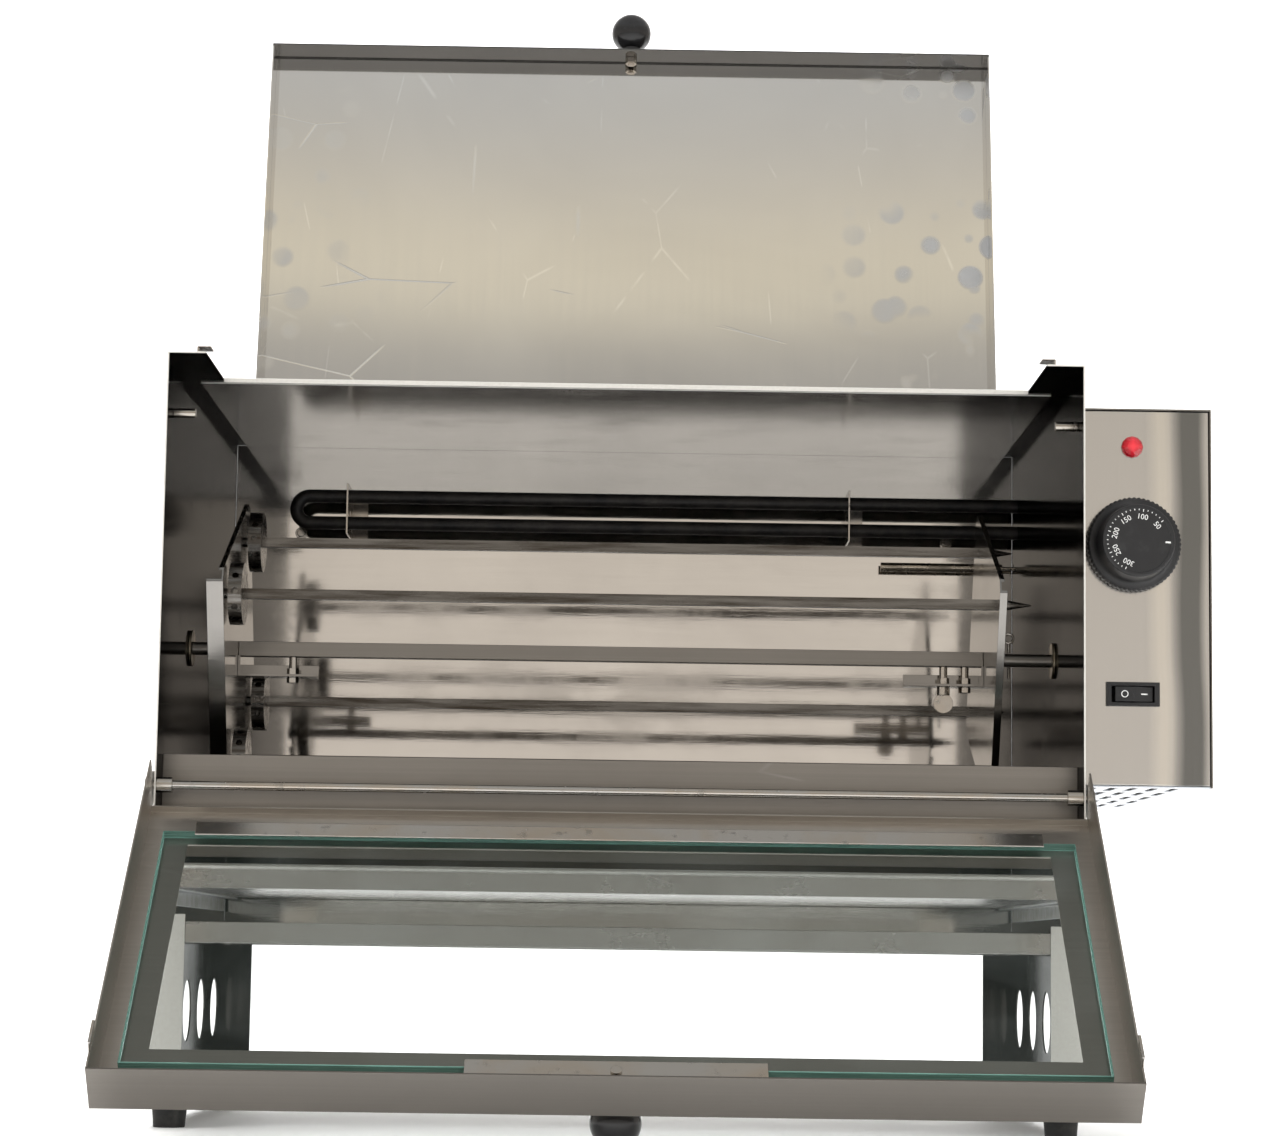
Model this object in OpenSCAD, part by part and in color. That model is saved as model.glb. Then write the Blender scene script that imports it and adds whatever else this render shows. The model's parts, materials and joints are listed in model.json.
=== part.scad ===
// Rotisserie oven: steel cabinet on its own legs, drop-down glass door, lift-up lid,
// square-ended carousel with four skewers, and a control box on the right side.
// Millimetres, +Z up, the front faces -Y. The door and the lid are drawn open.

/* [Cabinet] */
// Outer width across the side panels
cab_w = 530; // [400:1:700]
// Depth of the side panels, front to back
cab_d = 350; // [320:1:450]
// Height of the door's hinge line above the table
hinge_z = 193; // [180:1:240]
// Height from the hinge line to the top of the cabinet
cab_top = 250; // [240:1:320]
// Thickness of the sheet steel
sheet = 1; // [0.8:0.1:1.5]
// Width of the flange along the top of each side panel
top_flange = 22; // [14:1:30]
// Height of the rubber feet
foot_h = 12; // [6:1:20]
// Diameter of the rubber feet
foot_d = 20; // [14:1:22]
// Diameter of the round air holes in the side panels
air_hole_d = 38; // [20:1:44]

/* [Door] */
// Length of the door from its hinge line to its free edge
door_len = 257; // [245:1:330]
// Depth of the flanges round the door
door_flange = 27; // [18:1:30]
// Angle between the shut door and the open door
door_open = 130.5; // [95:0.5:131]
// Thickness of the glass
glass_t = 5; // [3:0.5:6]
// Width of metal round the window at the sides
window_side = 25; // [18:1:60]
// Diameter of the hinge rod
rod_d = 5; // [4:0.5:6]
// Diameter of the ball knobs
knob_d = 27; // [20:1:30]

/* [Lid] */
// Length of the lid in front of its hinge pins
lid_len = 261; // [200:1:264]
// Depth of the flanges round the lid
lid_flange = 21; // [14:1:24]
// Angle between the shut lid and the open lid
lid_open = 101; // [90:1:104]
// Distance of the lid's hinge pins from the front of the cabinet
lid_hinge_y = 275; // [270:1:300]

/* [Carousel] */
// Distance of the carousel's axle from the front of the cabinet
axle_y = 133; // [128:1:160]
// Height of the carousel's axle above the door's hinge line
axle_up = 90; // [86:1:110]
// Width across the flats of the square wheels
wheel_w = 146; // [130:1:176]
// Width of the square axle bar
axle_bar = 9; // [8.5:0.5:14]
// Diameter of the axle's round journals
journal_d = 8; // [6:0.5:9]
// Radius of the circle that the skewers lie on
skewer_r = 74; // [50:1:85]
// Width of the square skewer bars
skewer_bar = 6; // [5:0.5:8]
// Diameter of the perforated discs on the skewers
disc_d = 37; // [24:1:44]

/* [Heater] */
// Diameter of the heater tube
heater_d = 9; // [6:0.5:10]
// Distance between the two legs of the heater loop
heater_gap = 18; // [16:1:30]

/* [Control box] */
// Width of the control box
box_w = 78; // [66:0.5:110]
// Height of the control box
box_h = 222; // [200:1:235]
// Depth of the control box
box_d = 280; // [240:1:300]
// Diameter of the temperature dial's skirt
dial_d = 55; // [40:1:58]
// Diameter of the signal lamp's lens
lamp_d = 12.7; // [8:0.1:16]

/* [Drip tray] */
// Height of the drip tray
tray_h = 14; // [10:1:15]

/* [Hidden] */

$fn = 64;
eps = 0.01;
run_gap = 0.05;            // radial clearance of a pin that turns in a hole
seat_gap = 0.1;            // clearance between pieces that are bolted together
swing_gap = 0.8;           // clearance beside the swinging door

half = cab_w / 2;
inner = half - sheet;
top_z = hinge_z + cab_top;
fit_half = inner - seat_gap;           // half width of what fits between the side panels

// Door: its hinge line lies close behind the front edges of the side panels
hinge_y = 4;
door_face = 9;                         // outer face of the door in front of the hinge line
door_half = half + swing_gap + sheet;
door_start = 14;                       // lower edge of the door's skin above the hinge line
ear_r = 8;
rod_end = 3.7;                         // reach of the hinge rod's caps beyond the door
flange_in = door_flange - door_face;   // reach of the flanges behind the hinge line
glass_start = 38;
glass_end = door_len - 28;
glass_half = door_half - 11;
window_start = 44;
window_end = glass_end - 16;
knob_up = door_len - 14;
knob_stand = 18;                       // centre of a ball knob from the sheet it is bolted to
stud_d = 7;
nut_h = 4;

// Lid
lid_rise = 8.5;                        // shut lid's lower edge above the top flanges
lid_below = 6.5;                       // the same edge below the lid's hinge pins
lid_z = top_z + lid_rise + lid_below;
lid_half = half - top_flange + 1.5;
lid_tail = 8;
lid_top = lid_flange - lid_below;
lid_pin_d = 4;
bracket_in = lid_half + 1.5;
bracket_half_l = 8;
tab_y = hinge_y - door_face + door_flange + 4;
tab_l = 14;

// Carousel
axle_z = hinge_z + axle_up;
wheel_l = half - 31;                   // inner face of the left wheel's plate
wheel_r = half - 44.5;                 // inner face of the right wheel's plate
wheel_sheet = 1.2;
wheel_rim = 3;
wheel_flange_left = 10;                // reach of the flange along one side of each wheel
wheel_flange_right = 4.4;
skewer_angles = [69, 159, 249, 339];
skewer_journal = 6;
skewer_tip = 21;
bracket_low = -axle_bar / 2 - 12.5;    // underside of the clamp brackets below the axle
bracket_sheet = 1.5;
disc_t = 8;
disc_holes = 12;
disc_hole_d = 4;
bush_d = 15;
bush_out = 1.5;
bush_flange_d = 22;
bush_flange_t = 1.6;

// Heater
heater_y = cab_d - 30;
heater_low = top_z - 57;
heater_left = half - 45;

// Control box
box_x0 = half + 0.2;
box_x1 = half + box_w;
box_y0 = 30;
box_z0 = hinge_z + 8;
box_z1 = box_z0 + box_h;
panel_gap = 0.8;
control_x = half + 31.5;
dial_z = box_z0 + box_h * 0.635;
lamp_z = box_z1 - 23;
rocker_z = box_z0 + 54;
dial_skirt = 9;
dial_stand = 25;
spindle_d = 6;
rocker_w = 31;
rocker_h = 14;
rocker_lip = 3;
rocker_tilt = 7;
rocker_pin_d = 2.4;                    // pivot pin of the rocker
motor_x = half + 22;
motor_r = 25;
motor_l = 24;

// Lower body
tray_top = hinge_z - 44;
tray_z = tray_top - tray_h;
rail_top = hinge_z - 77;
rail_h = 12;
rail_d = 18;
leg_flange = 20;
leg_top = hinge_z - 73;
apron_y = 26;
apron_up = 19;
apron_down = 40;
air_z = foot_h + 51;
air_y = [for (share = [0, 1, 2]) cab_d - 45 - share * 68.5];
stud_y = apron_y + 0.5;
stud_up = cab_top - 32;
roof_y = 87;                           // front edge of the roof
roof_tongue = 15;                      // width of the roof that lies under each top flange
foot_x = half - 12;
foot_y = [18, cab_d - 18];

// Frame: the origin is under the middle of the whole object as it is drawn
low_y = hinge_y - door_len * sin(door_open) + flange_in * cos(door_open);
high_y = max(cab_d, lid_hinge_y + lid_top * sin(lid_open)
    - (lid_len + knob_stand) * cos(lid_open) + lid_pin_d);
frame_x = (box_x1 - door_half - rod_end) / 2;
frame_y = (low_y + high_y) / 2;

steel = [0.72, 0.72, 0.71];
mirror_steel = [0.55, 0.54, 0.53];
skin_steel = [0.50, 0.48, 0.44];
black = [0.06, 0.06, 0.06];

// A block between two corners given as ranges along X, Y and Z
module block(x, y, z)
    translate([min(x[0], x[1]), y[0], z[0]])
        cube([abs(x[1] - x[0]), y[1] - y[0], z[1] - z[0]]);

// A round bar along X between two places
module bar_x(x0, x1, d) translate([x0, 0, 0]) rotate([0, 90, 0]) cylinder(d = d, h = x1 - x0);

// A round bar along Y between two places
module bar_y(y0, y1, d) translate([0, y1, 0]) rotate([90, 0, 0]) cylinder(d = d, h = y1 - y0);

module in_frame() translate([-frame_x, -frame_y, 0]) children();
module both_sides() for (side = [-1, 1]) scale([side, 1, 1]) children();
module in_door() in_frame() translate([0, hinge_y, hinge_z]) rotate([door_open, 0, 0]) children();
module in_lid() in_frame() translate([0, lid_hinge_y, lid_z]) rotate([-lid_open, 0, 0]) children();
module in_carousel() in_frame() translate([0, axle_y, axle_z]) children();

// ---- Cabinet ----
module side_panel(side) {
    x_out = side * half;
    x_in = side * inner;
    in_frame() difference() {
        union() {
            block([x_in, x_out], [0, cab_d], [foot_h, top_z]);
            block([side * (half - top_flange), x_out], [0, cab_d], [top_z - sheet, top_z]);
            block([side * (half - leg_flange), x_out], [0, cab_d], [foot_h, foot_h + sheet]);
            block([side * (half - leg_flange), x_out], [0, sheet], [foot_h, leg_top]);
            block([side * (half - leg_flange), x_out], [cab_d - sheet, cab_d], [foot_h, leg_top]);
        }
        for (y = air_y) translate([0, y, air_z])
            bar_x(min(x_in, x_out) - 1, max(x_in, x_out) + 1, air_hole_d);
        translate([0, axle_y, axle_z])
            bar_x(min(x_in, x_out) - 1, max(x_in, x_out) + 1, bush_d + 2 * seat_gap);
        translate([0, hinge_y, hinge_z])
            bar_x(min(x_in, x_out) - 1, max(x_in, x_out) + 1, rod_d + 2 * seat_gap);
        translate([0, stud_y, hinge_z + stud_up])
            bar_x(min(x_in, x_out) - 1, max(x_in, x_out) + 1, 4 + 2 * seat_gap);
        for (y = foot_y) translate([side * foot_x, y, foot_h - 1]) cylinder(d = 4.4, h = sheet + 2);
        if (side > 0) {
            for (up = [0, heater_gap]) translate([0, heater_y, heater_low + up])
                bar_x(x_in - 1, x_out + 1, heater_d + 2 * seat_gap);
            translate([0, cab_d - 12, heater_low - 22])
                bar_x(x_in - 1, x_out + 1, 6 + 2 * seat_gap);
        }
    }
}
module side_panel_left() color(mirror_steel) side_panel(-1);
module side_panel_right() color(mirror_steel) side_panel(1);

module back_panel() color(mirror_steel) in_frame() {
    block([-fit_half, fit_half], [cab_d - 2 * sheet - seat_gap, cab_d - sheet - seat_gap],
        [rail_top, top_z - sheet - seat_gap]);
    block([-fit_half, fit_half], [cab_d - 12, cab_d - 2 * sheet], [rail_top, rail_top + sheet]);
}

// A roof sheet between the top flanges, on a second sheet that reaches under them
module roof_panel() color(mirror_steel) in_frame() {
    mid = half - top_flange - seat_gap;
    rear = cab_d - 2 * sheet - 2 * seat_gap;
    block([-mid, mid], [roof_y, rear], [top_z - sheet, top_z]);
    block([-mid, mid], [roof_y, roof_y + sheet], [top_z - 3, top_z]);
    block([-mid - roof_tongue, mid + roof_tongue], [roof_y + 10, rear],
        [top_z - 2 * sheet, top_z - sheet]);
}

module apron_panel() color(skin_steel) in_frame() {
    block([-fit_half, fit_half], [apron_y, apron_y + sheet],
        [hinge_z - apron_down, hinge_z + apron_up]);
    block([-fit_half, fit_half], [apron_y, apron_y + 7],
        [hinge_z + apron_up - sheet, hinge_z + apron_up]);
}

// A folded channel that ties the two sides together low down
module base_rail(y0) {
    block([-fit_half, fit_half], [y0, y0 + sheet], [rail_top - rail_h, rail_top]);
    block([-fit_half, fit_half], [y0, y0 + rail_d], [rail_top - sheet, rail_top]);
    block([-fit_half, fit_half], [y0, y0 + rail_d / 2],
        [rail_top - rail_h, rail_top - rail_h + sheet]);
}
module base_rail_front() color(steel) in_frame() base_rail(sheet + seat_gap);
module base_rail_rear() color(steel) in_frame() base_rail(cab_d - 14 - rail_d);

module tray_runners() color(steel) in_frame() both_sides() {
    block([inner - 10, inner - seat_gap], [30, cab_d - 14],
        [tray_z - seat_gap - sheet, tray_z - seat_gap]);
    block([inner - sheet - seat_gap, inner - seat_gap], [30, cab_d - 14],
        [tray_z - seat_gap - rail_d / 2, tray_z - seat_gap]);
}

module feet() color(black) in_frame() both_sides() for (y = foot_y)
    translate([foot_x, y, 0]) difference() {
        cylinder(d1 = foot_d - 2, d2 = foot_d, h = foot_h);
        translate([0, 0, -1]) cylinder(d = 9, h = foot_h - 2);
        cylinder(d = 4.4, h = foot_h + 1);
    }
module foot_screws() color(steel) in_frame() both_sides() for (y = foot_y)
    translate([foot_x, y, 0]) {
        translate([0, 0, foot_h - 5]) cylinder(d = 8, h = 2);
        translate([0, 0, foot_h - 5]) cylinder(d = 4, h = 12);
        translate([0, 0, foot_h + sheet + seat_gap]) cylinder(d = 8, h = 3, $fn = 6);
    }

module door_hinge_rod() color(steel) in_frame() translate([0, hinge_y, hinge_z]) {
    bar_x(-door_half - 3, door_half + 3, rod_d);
    both_sides() bar_x(door_half + 0.5, door_half + rod_end, rod_d + 3);
}
module hinge_spacers() color(steel) in_frame() translate([0, hinge_y, hinge_z])
    both_sides() difference() {
        bar_x(inner - seat_gap - 9, inner - seat_gap, rod_d + 4);
        bar_x(inner - 11, inner + 1, rod_d + 2 * seat_gap);
    }
module latch_studs() color(steel) in_frame() translate([0, stud_y, hinge_z + stud_up])
    both_sides() {
        bar_x(inner - 13, half + 2, 4);
        bar_x(inner - 13, inner - seat_gap, 5.6);
        bar_x(half + seat_gap, half + 2.2, 5.6);
    }
module lid_rest_tabs() color(steel) in_frame() both_sides() {
    block([lid_half + 6, lid_half + 7], [tab_y, tab_y + tab_l], [top_z, top_z + lid_rise - 0.5]);
    block([lid_half - 1.2, lid_half + 7], [tab_y, tab_y + tab_l],
        [top_z + lid_rise - 1.5, top_z + lid_rise - 0.5]);
    block([lid_half + 6, lid_half + 15], [tab_y, tab_y + tab_l], [top_z, top_z + sheet]);
}
module lid_hinge_brackets() color(steel) in_frame() both_sides() {
    difference() {
        union() {
            block([bracket_in, bracket_in + 1.5],
                [lid_hinge_y - bracket_half_l, lid_hinge_y + bracket_half_l], [top_z, lid_z]);
            translate([0, lid_hinge_y, lid_z])
                bar_x(bracket_in, bracket_in + 1.5, 2 * bracket_half_l);
        }
        translate([0, lid_hinge_y, lid_z])
            bar_x(bracket_in - 1, bracket_in + 3, lid_pin_d + 2 * seat_gap);
    }
    block([bracket_in, bracket_in + 12],
        [lid_hinge_y - bracket_half_l, lid_hinge_y + bracket_half_l], [top_z, top_z + 1.2]);
}
module lid_hinge_pins() color(steel) in_frame() translate([0, lid_hinge_y, lid_z])
    both_sides() {
        bar_x(lid_half - 5, bracket_in + 4, lid_pin_d);
        bar_x(lid_half - 5, lid_half - 2, lid_pin_d + 3);
        bar_x(bracket_in + 1.5 + seat_gap, bracket_in + 4, lid_pin_d + 3);
    }
module back_panel_screws() color(steel) in_frame()
    for (x = [-half + 46, half - 46], z = [rail_top + 20, heater_low - 4])
        translate([x, cab_d - 2 * sheet - 2 * seat_gap, z]) {
            bar_y(-2.6, 0, 8);
            bar_y(-4.6, -2.6, 5);
        }

// ---- Heater ----
module heater_element() color([0.12, 0.12, 0.12]) in_frame()
    translate([0, heater_y, heater_low]) {
        bend = heater_gap / 2;
        for (up = [0, heater_gap]) translate([0, 0, up])
            bar_x(bend - heater_left, half + 12, heater_d);
        translate([bend - heater_left, 0, bend]) rotate([90, 0, 0]) rotate([0, 0, 90])
            rotate_extrude(angle = 180) translate([bend, 0]) circle(d = heater_d);
    }
module heater_clips() color(steel) in_frame() for (x = [-186, 150]) translate([x, 0, 0]) {
    difference() {
        block([0, 1.2], [heater_y - 9, cab_d - 2 * sheet - 2 * seat_gap],
            [heater_low - 8, heater_low + heater_gap + 8]);
        for (up = [0, heater_gap]) translate([0, heater_y, heater_low + up])
            bar_x(-1, 3, heater_d + 2 * seat_gap);
    }
    block([0, 12], [cab_d - 2 * sheet - 2 * seat_gap - 1.2, cab_d - 2 * sheet - 2 * seat_gap],
        [heater_low - 8, heater_low + heater_gap + 8]);
}
module heater_terminals() color([0.8, 0.65, 0.3]) in_frame()
    for (up = [0, heater_gap]) translate([0, heater_y, heater_low + up]) {
        bar_x(half + 12, half + 19, 4);
        block([half + 19, half + 27], [-3, 3], [-0.4, 0.4]);
    }

// ---- Carousel bearings and drive ----
module bush(side) color([0.70, 0.55, 0.28]) in_frame() translate([0, axle_y, axle_z])
    scale([side, 1, 1]) difference() {
        union() {
            bar_x(inner - seat_gap - bush_flange_t, half + bush_out, bush_d);
            bar_x(inner - seat_gap - bush_flange_t, inner - seat_gap, bush_flange_d);
        }
        bar_x(inner - 6, half + bush_out + 1, journal_d + 2 * run_gap);
    }
module bearing_bush_left() bush(-1);
module bearing_bush_right() bush(1);

module gear_motor() color([0.62, 0.62, 0.60]) in_frame() translate([0, axle_y, axle_z]) {
    difference() {
        union() {
            bar_x(motor_x, motor_x + motor_l, 2 * motor_r);
            bar_x(motor_x - 3, motor_x, 16);
            block([motor_x, motor_x + sheet], [-motor_r - 8, motor_r + 8], [-8, 8]);
        }
        bar_x(motor_x - 4, motor_x + 14, journal_d + 2 * run_gap);
    }
    for (y = [-motor_r - 4, motor_r + 4]) translate([0, y, 0])
        bar_x(half + seat_gap, motor_x, 5);
}
module thermostat_body() color([0.85, 0.83, 0.76]) in_frame()
    translate([control_x, 0, dial_z]) difference() {
        union() {
            block([-18, 18], [box_y0 + 8, box_y0 + 38], [-16, 16]);
            bar_y(box_y0 + sheet + seat_gap, box_y0 + 8, 12);
        }
        bar_y(box_y0, box_y0 + 22, spindle_d + 2 * run_gap);
    }
module thermostat_bulb() color([0.72, 0.52, 0.30]) in_frame()
    translate([0, cab_d - 12, heater_low - 22]) {
        bar_x(inner - 90, inner - 8, 6);
        bar_x(inner - 8, half + 8, 2.4);
    }
module rocker_housing() color(black) in_frame() translate([control_x, 0, rocker_z])
    difference() {
        union() {
            block([-rocker_w / 2, rocker_w / 2], [box_y0 - 2, box_y0 - seat_gap],
                [-rocker_h / 2, rocker_h / 2]);
            block([2 - rocker_w / 2, rocker_w / 2 - 2], [box_y0 - seat_gap, box_y0 + 24],
                [1.2 - rocker_h / 2, rocker_h / 2 - 1.2]);
        }
        block([rocker_lip - rocker_w / 2, rocker_w / 2 - rocker_lip], [box_y0 - 3, box_y0 + 14],
            [2.2 - rocker_h / 2, rocker_h / 2 - 2.2]);
        translate([0, box_y0 + 3, 0])
            cylinder(d = rocker_pin_d + 2 * run_gap, h = rocker_h - 3.2, center = true);
    }
module rocker_button() color(black) in_frame() translate([control_x, box_y0 + 3, rocker_z])
    rotate([0, 0, rocker_tilt]) {
        linear_extrude(rocker_h - 5.4, center = true)
            polygon([[-11.2, -4.6], [-6, -5.4], [0, -6.6], [6, -5.4], [11.2, -4.6],
                [10.6, -0.6], [4, 5], [-4, 5], [-10.6, -0.6]]);
        cylinder(d = rocker_pin_d, h = rocker_h - 3.4, center = true);
    }
module lamp_lens() color([0.85, 0.05, 0.08]) in_frame() translate([control_x, 0, lamp_z]) {
    translate([0, box_y0 - seat_gap, 0]) rotate([90, 0, 0])
        cylinder(d1 = lamp_d, d2 = lamp_d * 0.55, h = 5, $fn = 12);
}
module lamp_body() color(black) in_frame() translate([control_x, 0, lamp_z]) {
    bar_y(box_y0 - seat_gap + eps, box_y0 + 26, lamp_d - 4);
    for (x = [-2, 2]) translate([x, 0, 0]) bar_y(box_y0 + 26, box_y0 + 33, 1.2);
}
module terminal_block() color([0.92, 0.91, 0.86]) in_frame() difference() {
    block([half + 20, half + 50], [box_y0 + box_d - 60, box_y0 + box_d - 44],
        [box_z0 + 30, box_z0 + 44]);
    for (x = [half + 25, half + 35, half + 45])
        translate([x, box_y0 + box_d - 52, box_z0 + 38]) cylinder(d = 5, h = 10);
}
module cable_gland() color(black) in_frame()
    translate([half + 36, box_y0 + box_d, box_z0 + 34]) difference() {
        union() {
            bar_y(-8, 3, 14);
            bar_y(seat_gap, 4, 20);
            bar_y(-6, -sheet - seat_gap, 19);
            translate([0, 4, 0]) rotate([-90, 0, 0]) cylinder(d1 = 15, d2 = 11, h = 7);
        }
        bar_y(-9, 12, 8);
    }

// ---- Control box ----
module control_panel() color([0.69, 0.66, 0.62]) in_frame() difference() {
    block([box_x0 + seat_gap, box_x1 - sheet - panel_gap], [box_y0, box_y0 + sheet],
        [box_z0 + 1.4, box_z1 - sheet - panel_gap]);
    translate([control_x, 0, dial_z]) bar_y(box_y0 - 1, box_y0 + 3, spindle_d + 4);
    translate([control_x, 0, lamp_z]) bar_y(box_y0 - 1, box_y0 + 3, lamp_d - 4 + 2 * seat_gap);
    translate([control_x, 0, rocker_z])
        block([2 - rocker_w / 2 - seat_gap, rocker_w / 2 - 2 + seat_gap],
            [box_y0 - 1, box_y0 + 3],
            [1.2 - rocker_h / 2 - seat_gap, rocker_h / 2 - 1.2 + seat_gap]);
}
module control_box_cover() color([0.55, 0.54, 0.52]) in_frame() difference() {
    block([box_x0, box_x1], [box_y0, box_y0 + box_d], [box_z0, box_z1]);
    block([box_x0 - 1, box_x1 - sheet], [box_y0 - 1, box_y0 + box_d - sheet],
        [box_z0 - 1, box_z1 - sheet]);
    translate([half + 36, 0, box_z0 + 34])
        bar_y(box_y0 + box_d - 3, box_y0 + box_d + 1, 14 + 2 * seat_gap);
}
module vent_plate() color([0.88, 0.90, 0.93]) in_frame() difference() {
    x0 = box_x0 + seat_gap;
    x1 = box_x1 - sheet - seat_gap;
    block([x0, x1], [box_y0 + 2, box_y0 + box_d - sheet - seat_gap], [box_z0 + 0.2, box_z0 + 1.2]);
    for (col = [0:4], row = [0:4])
        block([x0 + 8 + col * 12, x0 + 12.5 + col * 12],
            [box_y0 + 12 + row * 50, box_y0 + 48 + row * 50], [box_z0 - 1, box_z0 + 3]);
}

// ---- Door, drawn shut about its hinge line and then swung open ----
module door_frame() color(skin_steel) in_door() difference() {
    union() {
        block([-door_half, door_half], [-door_face, sheet - door_face], [door_start, door_len]);
        block([-door_half, door_half], [-door_face, flange_in], [door_len - sheet, door_len]);
        both_sides() {
            block([door_half - sheet, door_half], [-door_face, flange_in], [0, door_len]);
            bar_x(door_half - sheet, door_half, 2 * ear_r);
        }
        block([-door_half, door_half], [-door_face, sheet + 4 - door_face],
            [door_start, door_start + sheet]);
    }
    block([window_side - door_half, door_half - window_side], [-door_face - 1, 1 + sheet - door_face],
        [window_start, window_end]);
    bar_x(-door_half - 1, door_half + 1, rod_d + 2 * run_gap);
    translate([0, 0, knob_up]) bar_y(-door_face - 1, 2 - door_face, 4.4);
}
module door_glass() color([0.62, 0.80, 0.74, 0.4]) in_door()
    block([-glass_half, glass_half], [sheet + seat_gap - door_face, sheet + seat_gap + glass_t - door_face],
        [glass_start, glass_end]);
module glass_retainer() color(steel) in_door() {
    y_glass = sheet + seat_gap + glass_t - door_face;
    long = glass_half - 18;
    block([-long, long], [y_glass + seat_gap, y_glass + seat_gap + sheet],
        [glass_start - 6, glass_start + 4]);
    block([-long, long], [sheet - door_face, y_glass + seat_gap + sheet],
        [glass_start - 6 - sheet, glass_start - 6]);
}
module glass_clip() color([0.85, 0.85, 0.85]) in_door() difference() {
    y_glass = sheet + seat_gap + glass_t - door_face;
    union() {
        block([-78, 78], [y_glass + seat_gap, y_glass + seat_gap + sheet],
            [glass_end - 5, glass_end + 6]);
        block([-78, 78], [sheet - door_face, y_glass + seat_gap + sheet],
            [glass_end + seat_gap, glass_end + seat_gap + sheet]);
        block([-78, 78], [y_glass - 2, y_glass + seat_gap + sheet], [glass_end + 5, glass_end + 6]);
    }
    translate([0, 0, glass_end + 3]) bar_y(-door_face, y_glass + 5, 3.4);
}
module clip_screw() color(steel) in_door() translate([0, 0, glass_end + 3]) {
    y_clip = 2 * sheet + 2 * seat_gap + glass_t - door_face;
    bar_y(sheet - door_face, y_clip + eps, 3);
    bar_y(y_clip, y_clip + 1.8, 6);
}
module door_catches() color(steel) in_door() both_sides() {
    block([door_half - sheet, door_half], [flange_in + eps, flange_in + 7],
        [door_len - 29, door_len - 12]);
    block([door_half - sheet - 0.6, door_half], [flange_in + 5.6, flange_in + 7],
        [door_len - 29, door_len - 12]);
}
// A ball on a short neck, standing along -Y from the sheet at y = 0
module ball_knob() rotate([90, 0, 0]) difference() {
    rotate_extrude() union() {
        intersection() {
            translate([0, knob_stand]) circle(d = knob_d);
            translate([0, 0]) square([knob_d, knob_stand + knob_d]);
        }
        translate([0, 3.4]) square([6, knob_stand - 6]);
    }
    translate([0, 0, -1]) cylinder(d = 4 + 2 * seat_gap, h = knob_stand - 2);
}
// The knob's stud: a collar against the sheet, a nut behind it and a thread into the ball
module knob_stud() {
    bar_y(-knob_stand + 4, nut_h + 2, 4);
    bar_y(-3.3, -seat_gap, stud_d + 1);
    translate([0, sheet + seat_gap + nut_h, 0]) rotate([90, 0, 0]) cylinder(d = 8, h = nut_h, $fn = 6);
}
module door_knob() color(black) in_door() translate([0, -door_face, knob_up]) ball_knob();
module door_knob_stud() color(steel) in_door() translate([0, -door_face, knob_up]) knob_stud();

// ---- Lid, drawn shut about its hinge pins and then swung open ----
module lid_pan() color([0.74, 0.72, 0.68]) in_lid() difference() {
    union() {
        block([-lid_half, lid_half], [-lid_len, lid_tail], [lid_top - sheet, lid_top]);
        block([-lid_half, lid_half], [-lid_len, sheet - lid_len], [-lid_below, lid_top]);
        both_sides() block([lid_half - sheet, lid_half], [-lid_len, lid_tail],
            [-lid_below, lid_top]);
    }
    both_sides() bar_x(lid_half - 3, lid_half + 1, lid_pin_d + 2 * run_gap);
    translate([0, 0, lid_top / 2]) bar_y(-lid_len - 1, 2 - lid_len, 4.4);
}
module lid_knob() color(black) in_lid() translate([0, -lid_len, lid_top / 2]) ball_knob();
module lid_knob_stud() color(steel) in_lid() translate([0, -lid_len, lid_top / 2]) knob_stud();

// ---- Carousel ----
module axle() color([0.60, 0.58, 0.54]) in_carousel() {
    block([seat_gap - wheel_l, wheel_r - seat_gap], [-axle_bar / 2, axle_bar / 2],
        [-axle_bar / 2, axle_bar / 2]);
    bar_x(-half - bush_out - 0.5, half + 12, journal_d);
}
// A square plate with clipped corners, whose rim is folded outwards, away from the middle
module wheel(plate_x, flange) rotate([skewer_angles[0] - 45, 0, 0]) {
    reach = wheel_w / 2;
    difference() {
        intersection() {
            union() {
                block([plate_x, plate_x + wheel_rim], [-reach, reach], [-reach, reach]);
                block([plate_x, plate_x + flange], [-reach, wheel_sheet - reach],
                    [-reach, reach]);
            }
            bar_x(plate_x - 1, plate_x + flange + 1, 2 * reach * sqrt(2) - 9);
        }
        block([plate_x + wheel_sheet, plate_x + flange + 1], [wheel_sheet - reach,
            reach - wheel_sheet], [wheel_sheet - reach, reach - wheel_sheet]);
        bar_x(plate_x - 1, plate_x + flange + 1, journal_d + 2 * seat_gap);
        for (turn = [45:90:315]) rotate([turn, 0, 0]) translate([0, skewer_r, 0])
            bar_x(plate_x - 1, plate_x + flange + 1, skewer_journal + 2 * run_gap);
    }
}
module wheel_left() color(steel) in_carousel() mirror([1, 0, 0])
    wheel(wheel_l, wheel_flange_left);
module wheel_right() color(steel) in_carousel() wheel(wheel_r, wheel_flange_right);

// A shelf below the axle with a low web behind and a leg up the wheel's plate
module hub_bracket(plate_x, toward, holes) {
    along = [plate_x + toward * seat_gap, plate_x + toward * 48];
    difference() {
        union() {
            block(along, [-8, 8], [bracket_low, bracket_low + bracket_sheet]);
            block(along, [8 - bracket_sheet, 8], [bracket_low, bracket_low + 8]);
            block([along[0], along[0] + toward * bracket_sheet], [-8, 8],
                [bracket_low, -axle_bar / 2 - seat_gap]);
        }
        for (hole = holes) translate([plate_x + toward * hole, 0, bracket_low - 1])
            cylinder(d = 5 + 2 * seat_gap, h = 4);
    }
}
module hub_brackets() color(steel) in_carousel() {
    hub_bracket(-wheel_l, 1, [33]);
    hub_bracket(wheel_r, -1, [11, 24]);
}
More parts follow.
